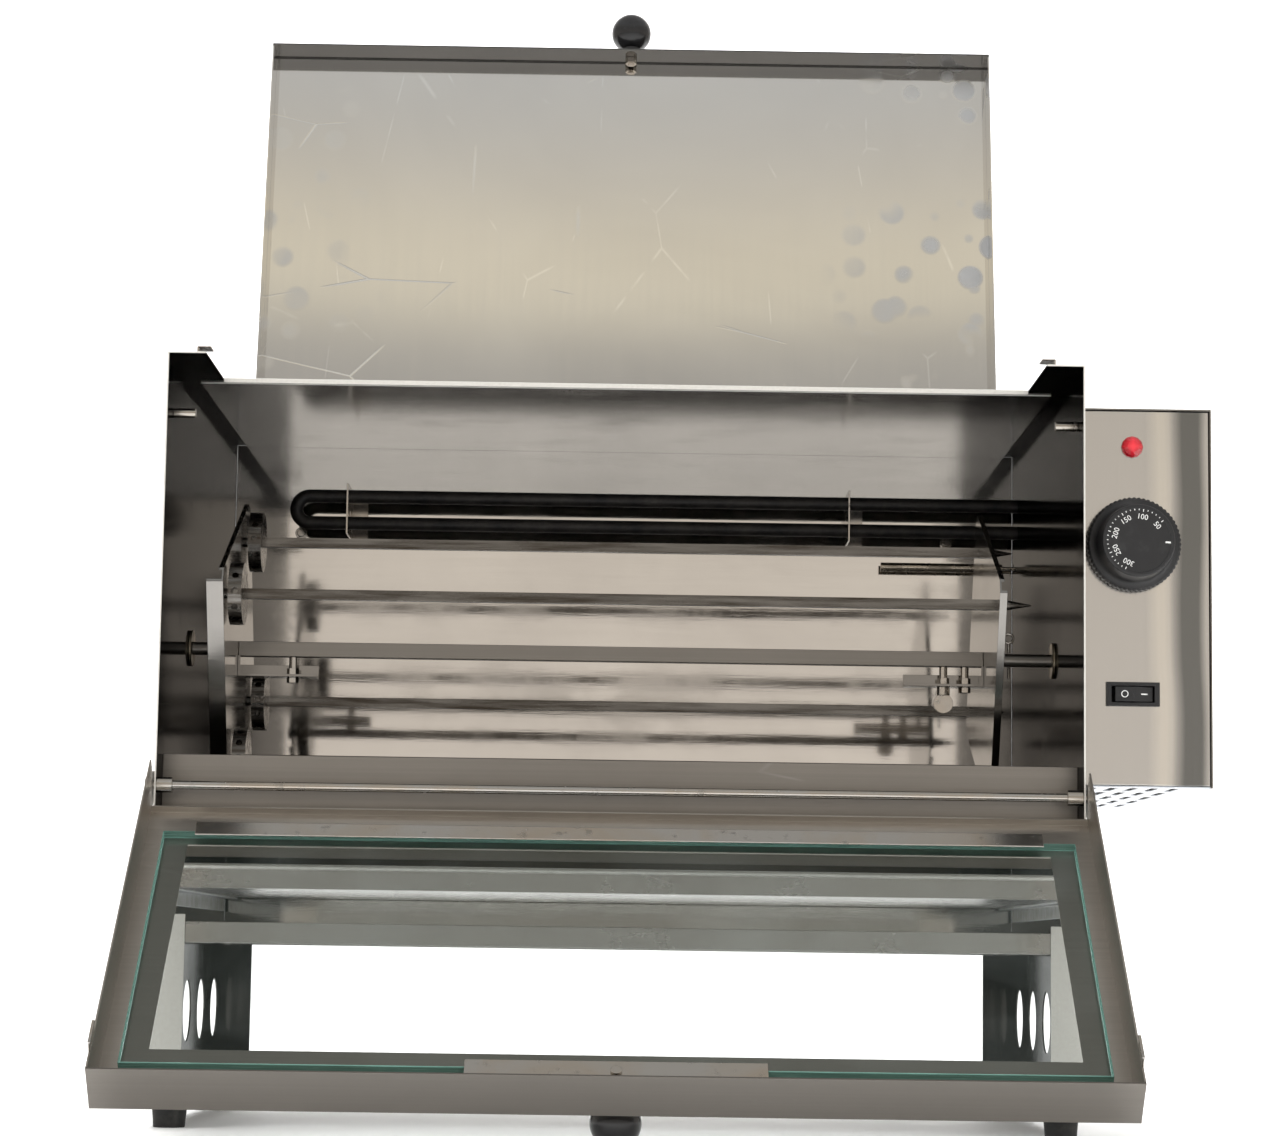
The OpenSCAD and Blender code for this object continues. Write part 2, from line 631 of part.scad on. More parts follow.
// The thread of a screw that stands in a bracket and clamps the axle, with its nut
module clamp_thread() {
    translate([0, 0, bracket_low - 3])
        cylinder(d = 5, h = 3 - bracket_low - axle_bar / 2 - seat_gap);
    translate([0, 0, bracket_low + bracket_sheet + seat_gap]) cylinder(d = 7.5, h = 4, $fn = 6);
}
module bracket_screws() color(steel) in_carousel() for (x = [33 - wheel_l, wheel_r - 11])
    translate([x, 0, 0]) {
        clamp_thread();
        translate([0, 0, bracket_low - 3.4]) cylinder(d = 7.5, h = 3.4 - seat_gap, $fn = 6);
    }
module thumb_screw() color(steel) in_carousel() translate([wheel_r - 24, 0, 0]) {
    clamp_thread();
    translate([0, 0, bracket_low - 5]) cylinder(d = 8, h = 5 - seat_gap);
    translate([0, 0, bracket_low - 10]) bar_y(-1.5, 1.5, 12);
}
module cotter_pin() color(steel) in_carousel() translate([wheel_r + 16, 0, 0]) {
    difference() {
        translate([0, 0, -11]) cylinder(d = 1.6, h = 22);
        bar_x(-2, 2, journal_d);
    }
    translate([0, 0, 13.5]) rotate([90, 0, 0]) rotate_extrude() translate([2.8, 0]) circle(d = 1.6);
}
module drive_coupling() color([0.66, 0.64, 0.60]) in_carousel() {
    difference() {
        bar_x(half + 6, half + 17, 13);
        bar_x(half + 5, half + 12 + seat_gap, journal_d + 2 * run_gap);
    }
    bar_x(half + 17 - eps, motor_x + 12, journal_d);
}

// ---- Skewers: a square bar with round ends, a point, and a perforated disc ----
module skewer(index) in_carousel() rotate([skewer_angles[index], 0, 0])
    translate([0, skewer_r, 0]) rotate([-skewer_angles[index], 0, 0]) {
        disc_x = 2 * run_gap - wheel_l + 2;
        color([0.52, 0.50, 0.46]) {
            block([disc_x, wheel_r - 2 * seat_gap], [-skewer_bar / 2, skewer_bar / 2],
                [-skewer_bar / 2, skewer_bar / 2]);
            bar_x(-wheel_l - 6, disc_x + 1, skewer_journal);
            bar_x(wheel_r - 1, wheel_r + 7, skewer_journal);
            translate([wheel_r + 7, 0, 0]) rotate([0, 90, 0])
                cylinder(d1 = skewer_journal, d2 = 0.8, h = skewer_tip - 7);
        }
        color(steel) difference() {
            bar_x(disc_x, disc_x + disc_t, disc_d);
            for (turn = [0:disc_holes - 1]) rotate([turn * 360 / disc_holes, 0, 0])
                translate([disc_x + disc_t / 2, disc_d / 2 - 5, 0]) rotate([-90, 0, 0])
                    cylinder(d = disc_hole_d, h = 6);
        }
    }
module skewer_1() skewer(0);
module skewer_2() skewer(1);
module skewer_3() skewer(2);
module skewer_4() skewer(3);

// ---- Controls that move ----
module dial_knob() color(black) in_frame() translate([control_x, 0, dial_z]) {
    bar_y(box_y0 - dial_skirt, box_y0 - 1, dial_d);
    bar_y(box_y0 - dial_stand, box_y0 - dial_skirt, dial_d * 0.8);
    bar_y(box_y0 - 1, box_y0 + 20, spindle_d);
}

// ---- Drip tray ----
module drip_tray() color(steel) in_frame() {
    tray_half = inner - 2;
    y0 = 4;
    y1 = cab_d - 20;
    difference() {
        block([-tray_half, tray_half], [y0, y1], [tray_z, tray_top]);
        block([sheet - tray_half, tray_half - sheet], [y0 + sheet, y1 - sheet],
            [tray_z + sheet, tray_top + 1]);
    }
    translate([0, y0, tray_top - 1.5]) bar_x(-tray_half, tray_half, 3);
}

side_panel_left();
side_panel_right();
back_panel();
roof_panel();
apron_panel();
base_rail_front();
base_rail_rear();
tray_runners();
feet();
foot_screws();
door_hinge_rod();
hinge_spacers();
latch_studs();
lid_rest_tabs();
lid_hinge_brackets();
lid_hinge_pins();
back_panel_screws();
heater_element();
heater_clips();
heater_terminals();
bearing_bush_left();
bearing_bush_right();
gear_motor();
thermostat_body();
thermostat_bulb();
rocker_housing();
lamp_lens();
lamp_body();
terminal_block();
cable_gland();
control_panel();
control_box_cover();
vent_plate();
door_frame();
door_glass();
glass_retainer();
glass_clip();
clip_screw();
door_catches();
door_knob();
door_knob_stud();
lid_pan();
lid_knob();
lid_knob_stud();
axle();
wheel_left();
wheel_right();
hub_brackets();
bracket_screws();
thumb_screw();
cotter_pin();
drive_coupling();
skewer_1();
skewer_2();
skewer_3();
skewer_4();
dial_knob();
rocker_button();
drip_tray();
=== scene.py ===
"""Rotisserie oven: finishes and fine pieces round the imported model.

Everything is in metres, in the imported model's own frame: +Z up, the front faces -Y.
"""

import json
import math

import bmesh
import bpy
import numpy as np
from mathutils import Matrix, Vector


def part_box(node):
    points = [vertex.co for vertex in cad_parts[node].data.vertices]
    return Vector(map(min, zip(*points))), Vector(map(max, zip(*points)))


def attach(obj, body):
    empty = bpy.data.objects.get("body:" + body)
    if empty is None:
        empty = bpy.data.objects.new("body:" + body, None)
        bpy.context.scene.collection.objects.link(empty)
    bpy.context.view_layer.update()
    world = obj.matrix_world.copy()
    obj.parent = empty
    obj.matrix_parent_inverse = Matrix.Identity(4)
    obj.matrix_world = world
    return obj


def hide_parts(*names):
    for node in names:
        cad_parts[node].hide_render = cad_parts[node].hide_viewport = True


bl_info = {
    "name": "Rotisserie Oven",
    "version": (1, 0, 0),
    "blender": (4, 5, 0),
    "location": "View3D > Sidebar > Oven",
    "description": "Builds the finishes and fine pieces of a rotisserie oven",
    "category": "Object",
}

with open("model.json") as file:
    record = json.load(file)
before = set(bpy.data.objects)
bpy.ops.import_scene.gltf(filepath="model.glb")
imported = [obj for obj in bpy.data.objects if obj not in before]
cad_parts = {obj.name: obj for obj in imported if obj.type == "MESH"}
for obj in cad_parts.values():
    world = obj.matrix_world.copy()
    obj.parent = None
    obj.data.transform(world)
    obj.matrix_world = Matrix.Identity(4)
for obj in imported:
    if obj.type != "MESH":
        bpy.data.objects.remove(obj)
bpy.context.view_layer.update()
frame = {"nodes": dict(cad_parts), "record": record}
RECORD = frame["record"]
BODY_OF = {node: body for body, nodes in RECORD["behaviour"]["bodies"].items() for node in nodes}
SLOT_OF = {part["node"]: part["material_slot"] for part in RECORD["subparts"]}
JOINT = {joint["name"]: joint for joint in RECORD["behaviour"]["joints"]}



def corners_of(node):
    """A node's lowest and highest corners at rest."""
    return tuple(Vector(corner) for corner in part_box(node))


def about_x(angle, direction):
    """A direction turned about the X axis, along which both hinges lie."""
    return Matrix.Rotation(angle, 3, "X") @ Vector(direction)


MM = 0.001
FULL_TURN = 2 * math.pi
LEFT, RIGHT = corners_of("side_panel_left")[0], corners_of("side_panel_right")[1]
HALF_WIDTH = (RIGHT.x - LEFT.x) / 2
MIDDLE_X = (LEFT.x + RIGHT.x) / 2
FRONT_Y = LEFT.y
TOP_Z = RIGHT.z

# The door and the lid stand open at rest, so what lies square to them is turned with them.
DOOR_HINGE = Vector(JOINT["door_hinge"]["pos_m"])
DOOR_SWING = math.radians(JOINT["door_hinge"]["range_deg"][1])
DOOR_ALONG = about_x(DOOR_SWING, (0, 0, 1))
DOOR_OUTWARD = about_x(DOOR_SWING, (0, -1, 0))
LID_HINGE = Vector(JOINT["lid_hinge"]["pos_m"])
LID_SWING = math.radians(JOINT["lid_hinge"]["range_deg"][1])
LID_ALONG = about_x(-LID_SWING, (0, -1, 0))

# Finish of the sheets: how the rolled grain stretches a noise along X, Y and Z.
CAVITY_GRAIN = (9, 3, 160)
ROOF_GRAIN = (3, 160, 9)
SATIN_GRAIN = (2, 520, 520)
BRUSHED_GRAIN = (2, 460, 460)

# The dial's scale, in degrees round its face: where it starts, and how far it runs.
DIAL_START = 40
DIAL_SPAN = 205

# The room's light: the sine of the height above the horizon, and the colour there.
ROOM_BANDS = ((0.0, (0.62, 0.57, 0.52)), (0.05, (0.80, 0.74, 0.68)), (0.12, (0.80, 0.74, 0.67)),
              (0.17, (0.66, 0.61, 0.54)), (0.30, (0.55, 0.52, 0.48)),
              (0.5495, (0.50, 0.49, 0.47)), (0.5535, (1.0, 0.93, 0.76)),
              (0.568, (0.98, 0.90, 0.73)), (0.586, (0.74, 0.71, 0.65)),
              (0.602, (0.68, 0.69, 0.69)), (1.0, (0.50, 0.49, 0.47)))

# Each lamp's name, place, target, side in metres and power in watts.
LAMPS = (("key", (-1.3, -1.6, 2.2), (0, 0, 0.3), 1.6, 40),
         ("fill", (1.6, -1.8, 1.3), (0.1, 0, 0.25), 1.8, 26),
         ("top", (0.1, 0.1, 2.4), (0, 0.05, 0.2), 1.8, 30),
         ("backdrop", (0, 1.6, 3.0), (0, 3.6, 0.9), 3.0, 260))

# The camera: its place from the middle of the cabinet's front at table height, and its angles.
EYE_FROM_FRONT = (-0.0009, -1.882, 0.0992)
EYE_TURN, EYE_TIP, EYE_ROLL = (math.radians(angle) for angle in (0.312, 6.72, 0.83))
EYE_LENS = 92.98
EYE_SENSOR = 36.0


# ---------------------------------------------------------------- sizes and colours
class OvenSizes(bpy.types.PropertyGroup):
    """Sizes of the fine pieces."""
    edge_round: bpy.props.FloatProperty(
        name="Edge round", description="Radius on the edges of the sheet metal",
        default=0.3 * MM, min=0.0, max=1.0 * MM, unit="LENGTH", precision=5)
    knob_smooth: bpy.props.IntProperty(
        name="Knob sides", description="Sides round each turned piece", default=72, min=24, max=160)
    dial_ribs: bpy.props.IntProperty(
        name="Dial ribs", description="Grip ribs round the dial's skirt", default=60, min=20, max=120)
    mark_rise: bpy.props.FloatProperty(
        name="Mark height", description="Height of printed marks above their surface",
        default=0.06 * MM, min=0.01 * MM, max=0.5 * MM, unit="LENGTH", precision=5)


class OvenColours(bpy.types.PropertyGroup):
    """Colours of the finishes."""
    polished: bpy.props.FloatVectorProperty(
        name="Polished steel", description="Polished sheet of the cavity", subtype="COLOR",
        size=3, min=0, max=1, default=(0.70, 0.67, 0.63))
    satin: bpy.props.FloatVectorProperty(
        name="Satin steel", description="Satin sheet of the door and box", subtype="COLOR",
        size=3, min=0, max=1, default=(0.28, 0.26, 0.235))
    brushed: bpy.props.FloatVectorProperty(
        name="Brushed steel", description="Brushed sheet of the lid and panel", subtype="COLOR",
        size=3, min=0, max=1, default=(0.66, 0.64, 0.61))
    bright: bpy.props.FloatVectorProperty(
        name="Bright steel", description="Bars, wheels and small hardware", subtype="COLOR",
        size=3, min=0, max=1, default=(0.50, 0.48, 0.45))
    plastic: bpy.props.FloatVectorProperty(
        name="Black plastic", description="Dial, switch and knobs", subtype="COLOR",
        size=3, min=0, max=1, default=(0.012, 0.012, 0.013))
    lamp: bpy.props.FloatVectorProperty(
        name="Lamp red", description="Lens of the signal lamp", subtype="COLOR",
        size=3, min=0, max=1, default=(0.62, 0.006, 0.02))
    glass_edge: bpy.props.FloatVectorProperty(
        name="Glass edge", description="Cut edge of the glass", subtype="COLOR",
        size=3, min=0, max=1, default=(0.16, 0.34, 0.29))
    print_white: bpy.props.FloatVectorProperty(
        name="Print", description="Printed marks and numbers", subtype="COLOR",
        size=3, min=0, max=1, default=(0.72, 0.73, 0.72))


def sizes():
    """The sizes set on the scene."""
    return bpy.context.scene.oven_sizes


def colours():
    """The colours set on the scene."""
    return bpy.context.scene.oven_colours


# ---------------------------------------------------------------- shader maths
class Num:
    """A number in a shader. The arithmetic signs add Math nodes."""

    def __init__(self, shader, socket):
        self.shader = shader
        self.socket = socket

    def __add__(self, other):
        return self.shader.math("ADD", self, other)

    def __sub__(self, other):
        return self.shader.math("SUBTRACT", self, other)

    def __rsub__(self, other):
        return self.shader.math("SUBTRACT", other, self)

    def __mul__(self, other):
        return self.shader.math("MULTIPLY", self, other)

    __radd__ = __add__
    __rmul__ = __mul__


class Shader:
    """A material whose nodes are added by short calls. Its skin is a Principled BSDF."""

    def __init__(self, name, **constants):
        self.material = bpy.data.materials.new(name)
        self.material.use_nodes = True
        self.tree = self.material.node_tree
        self.skin = self.tree.nodes["Principled BSDF"]
        self.place = self.add("TexCoord").outputs["Object"]
        for socket, value in constants.items():
            self.skin.inputs[socket.replace("_", " ")].default_value = value

    def feed(self, socket, value):
        """Links a number or a socket to a socket, or sets a plain value on it."""
        if isinstance(value, Num):
            value = value.socket
        if isinstance(value, bpy.types.NodeSocket):
            self.tree.links.new(value, socket)
        else:
            socket.default_value = value

    def add(self, kind, sockets=None, **settings):
        """Adds a node of that type, sets its settings, then feeds its sockets."""
        node = self.tree.nodes.new("ShaderNode" + kind)
        for name, value in settings.items():
            setattr(node, name, value)
        for name, value in (sockets or {}).items():
            self.feed(node.inputs[name], value)
        return node

    def math(self, operation, first, second=0.0):
        node = self.add("Math", {0: first, 1: second}, operation=operation)
        return Num(self, node.outputs[0])

    def scaled(self, scale):
        """The object's own coordinates, scaled along each axis."""
        return self.add("Mapping", {"Vector": self.place, "Scale": scale}).outputs[0]

    def axis(self, name):
        """One coordinate of the place on the object, in metres."""
        return Num(self, self.add("SeparateXYZ", {0: self.place}).outputs[name])

    def sideways(self):
        """The distance from the cabinet's middle plane."""
        return self.math("ABSOLUTE", self.axis("X") - MIDDLE_X)

    def along(self, start, direction):
        """How far the place lies from start along a direction square to X."""
        return (self.axis("Y") - start.y) * direction.y + (self.axis("Z") - start.z) * direction.z

    def noise(self, scale, detail=3.0, stretch=(1, 1, 1), roughness=0.55, distortion=0.0):
        """A cloudy value between 0 and 1."""
        node = self.add("TexNoise", {"Vector": self.scaled(stretch), "Scale": scale,
                                     "Detail": detail, "Roughness": roughness,
                                     "Distortion": distortion})
        return Num(self, node.outputs["Fac"])

    def cells(self, scale, stretch=(1, 1, 1), feature="F1"):
        """The distance to the nearest point, or edge, of a pattern of cells."""
        node = self.add("TexVoronoi", {"Vector": self.scaled(stretch), "Scale": scale},
                        feature=feature)
        return Num(self, node.outputs["Distance"])

    def rise(self, value, low, high, to=1.0):
        """0 where the value is below low, and `to` where it is above high."""
        node = self.add("MapRange", {"Value": value, "From Min": low, "From Max": high,
                                     "To Min": 0.0, "To Max": to})
        return Num(self, node.outputs[0])

    def blend(self, mask, first, second):
        """The first colour where the mask is 0 and the second where it is 1."""
        node = self.add("Mix", data_type="RGBA")
        for index, value in ((0, mask), (6, first), (7, second)):
            if index and not isinstance(value, bpy.types.NodeSocket):
                value = (*value[:3], 1.0)
            self.feed(node.inputs[index], value)
        return node.outputs[2]

    def bump(self, height, strength, depth):
        """Feeds the skin's normal from a height field."""
        node = self.add("Bump", {"Height": height, "Strength": strength, "Distance": depth})
        self.feed(self.skin.inputs["Normal"], node.outputs[0])

    def set(self, **sockets):
        """Feeds the skin's own sockets, by name with _ for a space."""
        for socket, value in sockets.items():
            self.feed(self.skin.inputs[socket.replace("_", " ")], value)


def shade(colour, amount):
    """A colour made darker or lighter."""
    return tuple(channel * amount for channel in colour[:3])


def scratches(shader, scale, stretch, width=0.012):
    """Thin curved lines: the edges of a stretched cell pattern, broken up by a noise."""
    lines = 1 - shader.rise(shader.cells(scale, stretch, "DISTANCE_TO_EDGE"), 0.0, width)
    return lines * shader.rise(shader.noise(scale * 1.7, 2), 0.56, 0.64)


def steel(name, colour, roughness, grain=(3, 420, 420), grain_depth=0.25, smudge=0.5, marks=0.4,
          painted_shade_mask=None, dark=0.34, edge_tint=(1.0, 1.0, 1.0, 1.0)):
    """Stainless sheet: rolled grain, hand smudges and a few fine scratches.

    grain stretches a noise, so that it runs along the axis with the smallest number.
    The dark-side mask picks the faces that get painted shade: their colour is multiplied by dark.
    edge_tint dims what the sheet reflects at a shallow angle.
    """
    s = Shader(name, Metallic=1.0, Specular_Tint=edge_tint)
    fibres = s.noise(1.0, 4, grain, 0.7)
    cloud = s.noise(5.0, 4, distortion=0.6)
    patches = s.rise(s.noise(16.0, 6, roughness=0.62), 0.50, 0.68)
    lines = scratches(s, 9.0, (0.5, 1.6, 1.6)) * marks
    tint = s.blend(s.rise(cloud, 0.35, 0.7), shade(colour, 0.90), shade(colour, 1.06))
    tint = s.blend(s.rise(fibres, 0.3, 0.8) * grain_depth, tint, shade(colour, 0.7))
    tint = s.blend(lines, tint, (0.86, 0.85, 0.83))
    # Painted shade: where the mask is 1, the colour is multiplied by dark.
    if painted_shade_mask is not None:
        tint = s.blend(painted_shade_mask(s), tint, shade(colour, dark))
    s.set(Base_Color=tint)
    s.set(Roughness=roughness + patches * (0.10 * smudge) + fibres * 0.07 + lines * 0.2)
    s.bump(fibres * 0.5 + lines * -0.6 + cloud * 0.4, 0.10, 0.4 * MM)
    return s.material


def inner_faces(s):
    """1 on the faces of the side panels that look into the cavity, where a dark reflection is
    painted.
    """
    return 1 - s.rise(s.sideways(), HALF_WIDTH - 0.3 * MM, HALF_WIDTH - 0.2 * MM)


def rear_face(s):
    """1 on the back panel's outer face, which gets painted shade: a darker copy of its colour."""
    rear = corners_of("back_panel")[1].y
    return s.rise(s.axis("Y"), rear - 0.4 * MM, rear - 0.3 * MM)


def door_front(s):
    """0.75 on the door's front flange, which is the far end of the door from its hinge, where a dark
    reflection is painted.
    """
    return s.rise(s.along(DOOR_HINGE, DOOR_ALONG), 0.2553, 0.2556) * 0.75


def polished_steel():
    """Mirror sheet of the back wall, with painted shade on its outer face."""
    return steel("polished_steel", colours().polished, 0.03, CAVITY_GRAIN, 0.10, 0.6, 0.0,
                 rear_face, 0.60)


def side_steel():
    """Mirror sheet of the side panels: a darker copy of the polished steel, with a painted dark
    reflection on the faces inside the cavity, and its reflection at a shallow angle dimmed.
    """
    return steel("side_steel", shade(colours().polished, 0.66), 0.08, CAVITY_GRAIN, 0.14, 0.6,
                 0.0, inner_faces, 0.16, (0.25, 0.25, 0.25, 1.0))


def roof_steel():
    """Mirror sheet of the roof, in a darker copy of the polished steel: painted shade."""
    return steel("roof_steel", shade(colours().polished, 0.52), 0.10, ROOF_GRAIN, 0.12, 0.6, 0.0)


def wheel_steel():
    """The carousel's plates and hub brackets, in a darker copy of the polished steel: painted shade.
    """
    return steel("wheel_steel", shade(colours().polished, 0.40), 0.09, CAVITY_GRAIN, 0.12, 0.6,
                 0.0)


def door_steel():
    """The door's frame: a lighter copy of the satin steel as painted light, with a painted dark
    reflection on its front flange.
    """
    return steel("door_steel", shade(colours().satin, 1.75), 0.28, SATIN_GRAIN, 0.45, 0.5, 0.08,
                 door_front, 0.26)


def satin_steel():
    """The apron, the box's cover and the axle."""
    return steel("satin_steel", colours().satin, 0.30, SATIN_GRAIN, 0.45, 0.5, 0.10)


def brushed_steel():
    """The rails and the drip tray."""
    return steel("brushed_steel", colours().brushed, 0.20, BRUSHED_GRAIN, 0.30, 0.7, 0.18)


def bright_steel():
    """Bright bars and fittings, with faint heat tint and grease."""
    colour = colours().bright
    s = Shader("bright_steel", Metallic=1.0)
    film = s.noise(22.0, 5, distortion=0.5)
    spots = s.rise(s.noise(150.0, 3), 0.60, 0.72)
    tint = s.blend(s.rise(film, 0.40, 0.72), shade(colour, 1.0), (0.50, 0.43, 0.35))
    s.set(Base_Color=s.blend(spots * 0.4, tint, shade(colour, 0.5)))
    s.set(Roughness=0.13 + film * 0.12 + spots * 0.15)
    s.bump(s.noise(500.0, 2) + film * 0.5, 0.06, 0.2 * MM)
    return s.material


def lid_steel():
    """The lid's sheet: vertical brushing, long scratches, dried water marks near its sides, and a
    painted dark reflection on its front flange.
    """
    colour = colours().brushed
    s = Shader("lid_steel", Metallic=1.0)
    fibres = s.noise(1.0, 4, (240, 30, 5), 0.7)
    cloud = s.noise(4.0, 4, distortion=0.8)
    # The front flange, where a dark reflection is painted.
    flange = s.rise(s.along(LID_HINGE, LID_ALONG), 0.2588, 0.2592)
    long_lines = scratches(s, 5.0, (1.1, 2.0, 2.6), 0.006)
    short_lines = scratches(s, 17.0, (1.0, 1.0, 0.45), 0.012)
    side = s.rise(s.sideways(), 0.16, 0.235)
    right = s.rise(s.axis("X") - MIDDLE_X, 0.13, 0.22)
    drops = 1 - s.rise(s.cells(44.0), 0.30, 0.42)
    water = drops * (side * 0.35 + right * 0.75) * s.rise(s.noise(11.0, 3), 0.47, 0.58)
    tint = s.blend(s.rise(cloud, 0.3, 0.7), shade(colour, 0.93), shade(colour, 1.06))
    tint = s.blend(water * 0.55, tint, (0.80, 0.84, 0.90))
    tint = s.blend(long_lines * 0.8, tint, (0.95, 0.94, 0.90))
    tint = s.blend(short_lines * 0.35, tint, (0.92, 0.91, 0.88))
    # Painted dark reflection: the front flange gets a much darker copy of the colour.
    s.set(Base_Color=s.blend(flange, tint, shade(colour, 0.22)))
    s.set(Roughness=0.05 + fibres * 0.03 + water * 0.35 + long_lines * 0.2 + cloud * 0.02)
    s.bump(fibres * 0.08 + long_lines * -0.8 + water * 0.4 + cloud * 0.5, 0.10, 0.3 * MM)
    return s.material


def panel_steel():
    """The control panel: vertical brushing, with painted reflections near its right: soft light and
    dark streaks.
    """
    colour = colours().brushed
    s = Shader("panel_steel", Metallic=1.0)
    fibres = s.noise(1.0, 4, (420, 20, 3), 0.7)
    wave = s.noise(9.0, 2)
    low, high = corners_of("control_panel")
    share = (s.axis("X") - low.x) * (1 / (high.x - low.x)) + (wave - 0.5) * 0.10
    # Painted reflections: a light streak, then a dark streak towards the right.
    light = s.rise(share, 0.52, 0.62) - s.rise(share, 0.66, 0.74)
    dark = s.rise(share, 0.70, 0.80) - s.rise(share, 0.93, 0.99)
    tint = s.blend(fibres * 0.25, colour, shade(colour, 0.8))
    tint = s.blend(light * 0.6, tint, (0.90, 0.85, 0.76))
    s.set(Base_Color=s.blend(dark * 0.85, tint, (0.14, 0.145, 0.14)))
    s.set(Roughness=0.16 + fibres * 0.08)
    s.bump(fibres, 0.06, 0.2 * MM)
    return s.material


def cut_steel():
    """Painted highlight on the front edges and hems of the sheets: a pale colour that stands for the
    light they catch.
    """
    s = Shader("cut_steel", Metallic=0.6)
    highlight_noise = s.noise(600.0, 3)
    s.set(Base_Color=s.blend(highlight_noise, (0.90, 0.89, 0.85), (0.72, 0.70, 0.66)))
    s.set(Roughness=0.30 + highlight_noise * 0.2)
    return s.material


def skewer_steel():
    """Skewers: steel with baked brown stains along the bars."""
    colour = colours().bright
    s = Shader("skewer_steel", Metallic=1.0)
    baked = s.rise(s.noise(1.0, 5, (14, 260, 260), 0.65), 0.36, 0.66)
    s.set(Base_Color=s.blend(baked, shade(colour, 0.42), (0.07, 0.058, 0.046)))
    s.set(Roughness=0.16 + baked * 0.22)
    s.bump(s.noise(300.0, 3), 0.08, 0.2 * MM)
    return s.material


def heater_black():
    """Oxidised sheath: dark, a little blotched and scaly."""
    s = Shader("heater_black", Metallic=0.55)
    scale = s.noise(60.0, 6, roughness=0.7)
    s.set(Base_Color=s.blend(s.rise(scale, 0.35, 0.75), (0.014, 0.014, 0.015),
                             (0.055, 0.050, 0.046)))
    s.set(Roughness=0.34 + scale * 0.25)
    s.bump(scale, 0.25, 0.3 * MM)
    return s.material


def warm_metal(name, colour, roughness):
    """Bronze or copper, with darker tarnish in patches."""
    s = Shader(name, Metallic=1.0)
    tarnish = s.rise(s.noise(90.0, 5), 0.42, 0.68)
    s.set(Base_Color=s.blend(tarnish * 0.6, colour, shade(colour, 0.45)))
    s.set(Roughness=roughness + tarnish * 0.22)
    s.bump(s.noise(400.0, 3), 0.12, 0.1 * MM)
    return s.material


def plastic(name, colour, roughness, grain=0.15, dust=0.25):
    """Moulded plastic: a fine spark-eroded grain and a little dust."""
    s = Shader(name, IOR=1.5)
    fine = s.noise(2600.0, 2)
    dusty = s.rise(s.noise(70.0, 6, roughness=0.7), 0.56, 0.76)
    s.set(Base_Color=s.blend(dusty * dust, colour, tuple(0.06 + c * 0.9 for c in colour[:3])))
    s.set(Roughness=roughness + fine * 0.12 + dusty * 0.18)
    s.bump(fine, grain, 0.08 * MM)
    return s.material


def rubber():
    """The feet: dull rubber, scuffed paler in patches."""
    s = Shader("rubber", IOR=1.5)
    worn = s.rise(s.noise(120.0, 5), 0.5, 0.75)
    s.set(Base_Color=s.blend(worn, (0.016, 0.016, 0.016), (0.05, 0.048, 0.045)))
    s.set(Roughness=0.72 + worn * 0.2)
    s.bump(s.noise(1500.0, 3), 0.3, 0.1 * MM)
    return s.material


def clear_glass():
    """Clear sheet glass: mostly see-through, glossy, with a faint smeared film."""
    s = Shader("clear_glass", Roughness=0.02, IOR=1.5)
    film = s.rise(s.noise(9.0, 5, distortion=0.9), 0.46, 0.72)
    s.set(Base_Color=s.blend(film, (0.02, 0.025, 0.022), (0.10, 0.11, 0.105)))
    clear = s.add("BsdfTransparent", {"Color": (0.935, 0.95, 0.945, 1)})
    gloss = Num(s, s.add("LayerWeight", {"Blend": 0.30}).outputs["Fresnel"])
    mixed = s.add("MixShader", {0: gloss * 0.35 + film * 0.03})
    s.tree.links.new(clear.outputs[0], mixed.inputs[1])
    s.tree.links.new(s.skin.outputs[0], mixed.inputs[2])
    s.tree.links.new(mixed.outputs[0], s.tree.nodes["Material Output"].inputs["Surface"])
    return s.material


def cut_edge():
    """The glass's ground edge: green in depth, with fine grinding lines."""
    s = Shader("glass_edge", IOR=1.5, Transmission_Weight=0.15)
    lines = s.noise(1.0, 3, (30, 1500, 1500))
    edge = tuple(colours().glass_edge)
    s.set(Base_Color=s.blend(s.rise(lines, 0.3, 0.7), shade(edge, 0.75), shade(edge, 1.35)))
    s.set(Roughness=0.18 + lines * 0.15)
    return s.material


def lamp_red():
    """Clear red lens, brighter where the lamp's neon sits behind it."""
    red = tuple(colours().lamp)
    s = Shader("lamp_red", IOR=1.5, Coat_Weight=0.6, Emission_Strength=0.25)
    low, high = corners_of("lamp_lens")
    middle = (low + high) / 2
    across = (s.math("ABSOLUTE", s.axis("X") - middle.x)
              + s.math("ABSOLUTE", s.axis("Z") - middle.z))
    core = 1 - s.rise(across, 0.5 * MM, 7 * MM)
    sparkle = s.rise(s.cells(700.0), 0.2, 0.6)
    s.set(Base_Color=s.blend(core * 0.6, shade(red, 0.55), (0.85, 0.05, 0.07)))
    s.set(Emission_Color=s.blend(core, shade(red, 0.2), red))
    s.set(Roughness=0.06 + sparkle * 0.12)
    return s.material


def paint_white():
    """Pale powder coat with a light orange peel."""
    s = Shader("white_paint", IOR=1.5)
    peel = s.noise(420.0, 3)
    grime = s.rise(s.noise(14.0, 5), 0.5, 0.75)
    s.set(Base_Color=s.blend(grime * 0.5, (0.74, 0.78, 0.84), (0.58, 0.60, 0.63)))
    s.set(Roughness=0.36 + peel * 0.12)
    s.bump(peel, 0.15, 0.15 * MM)
    return s.material


def printed():
    """Printed marks, worn thin in places."""
    white = tuple(colours().print_white)
    s = Shader("printed_white", IOR=1.45)
    worn = s.rise(s.noise(500.0, 4), 0.45, 0.7)
    s.set(Base_Color=s.blend(worn, white, shade(white, 0.72)))
    s.set(Roughness=0.45 + worn * 0.2)
    return s.material


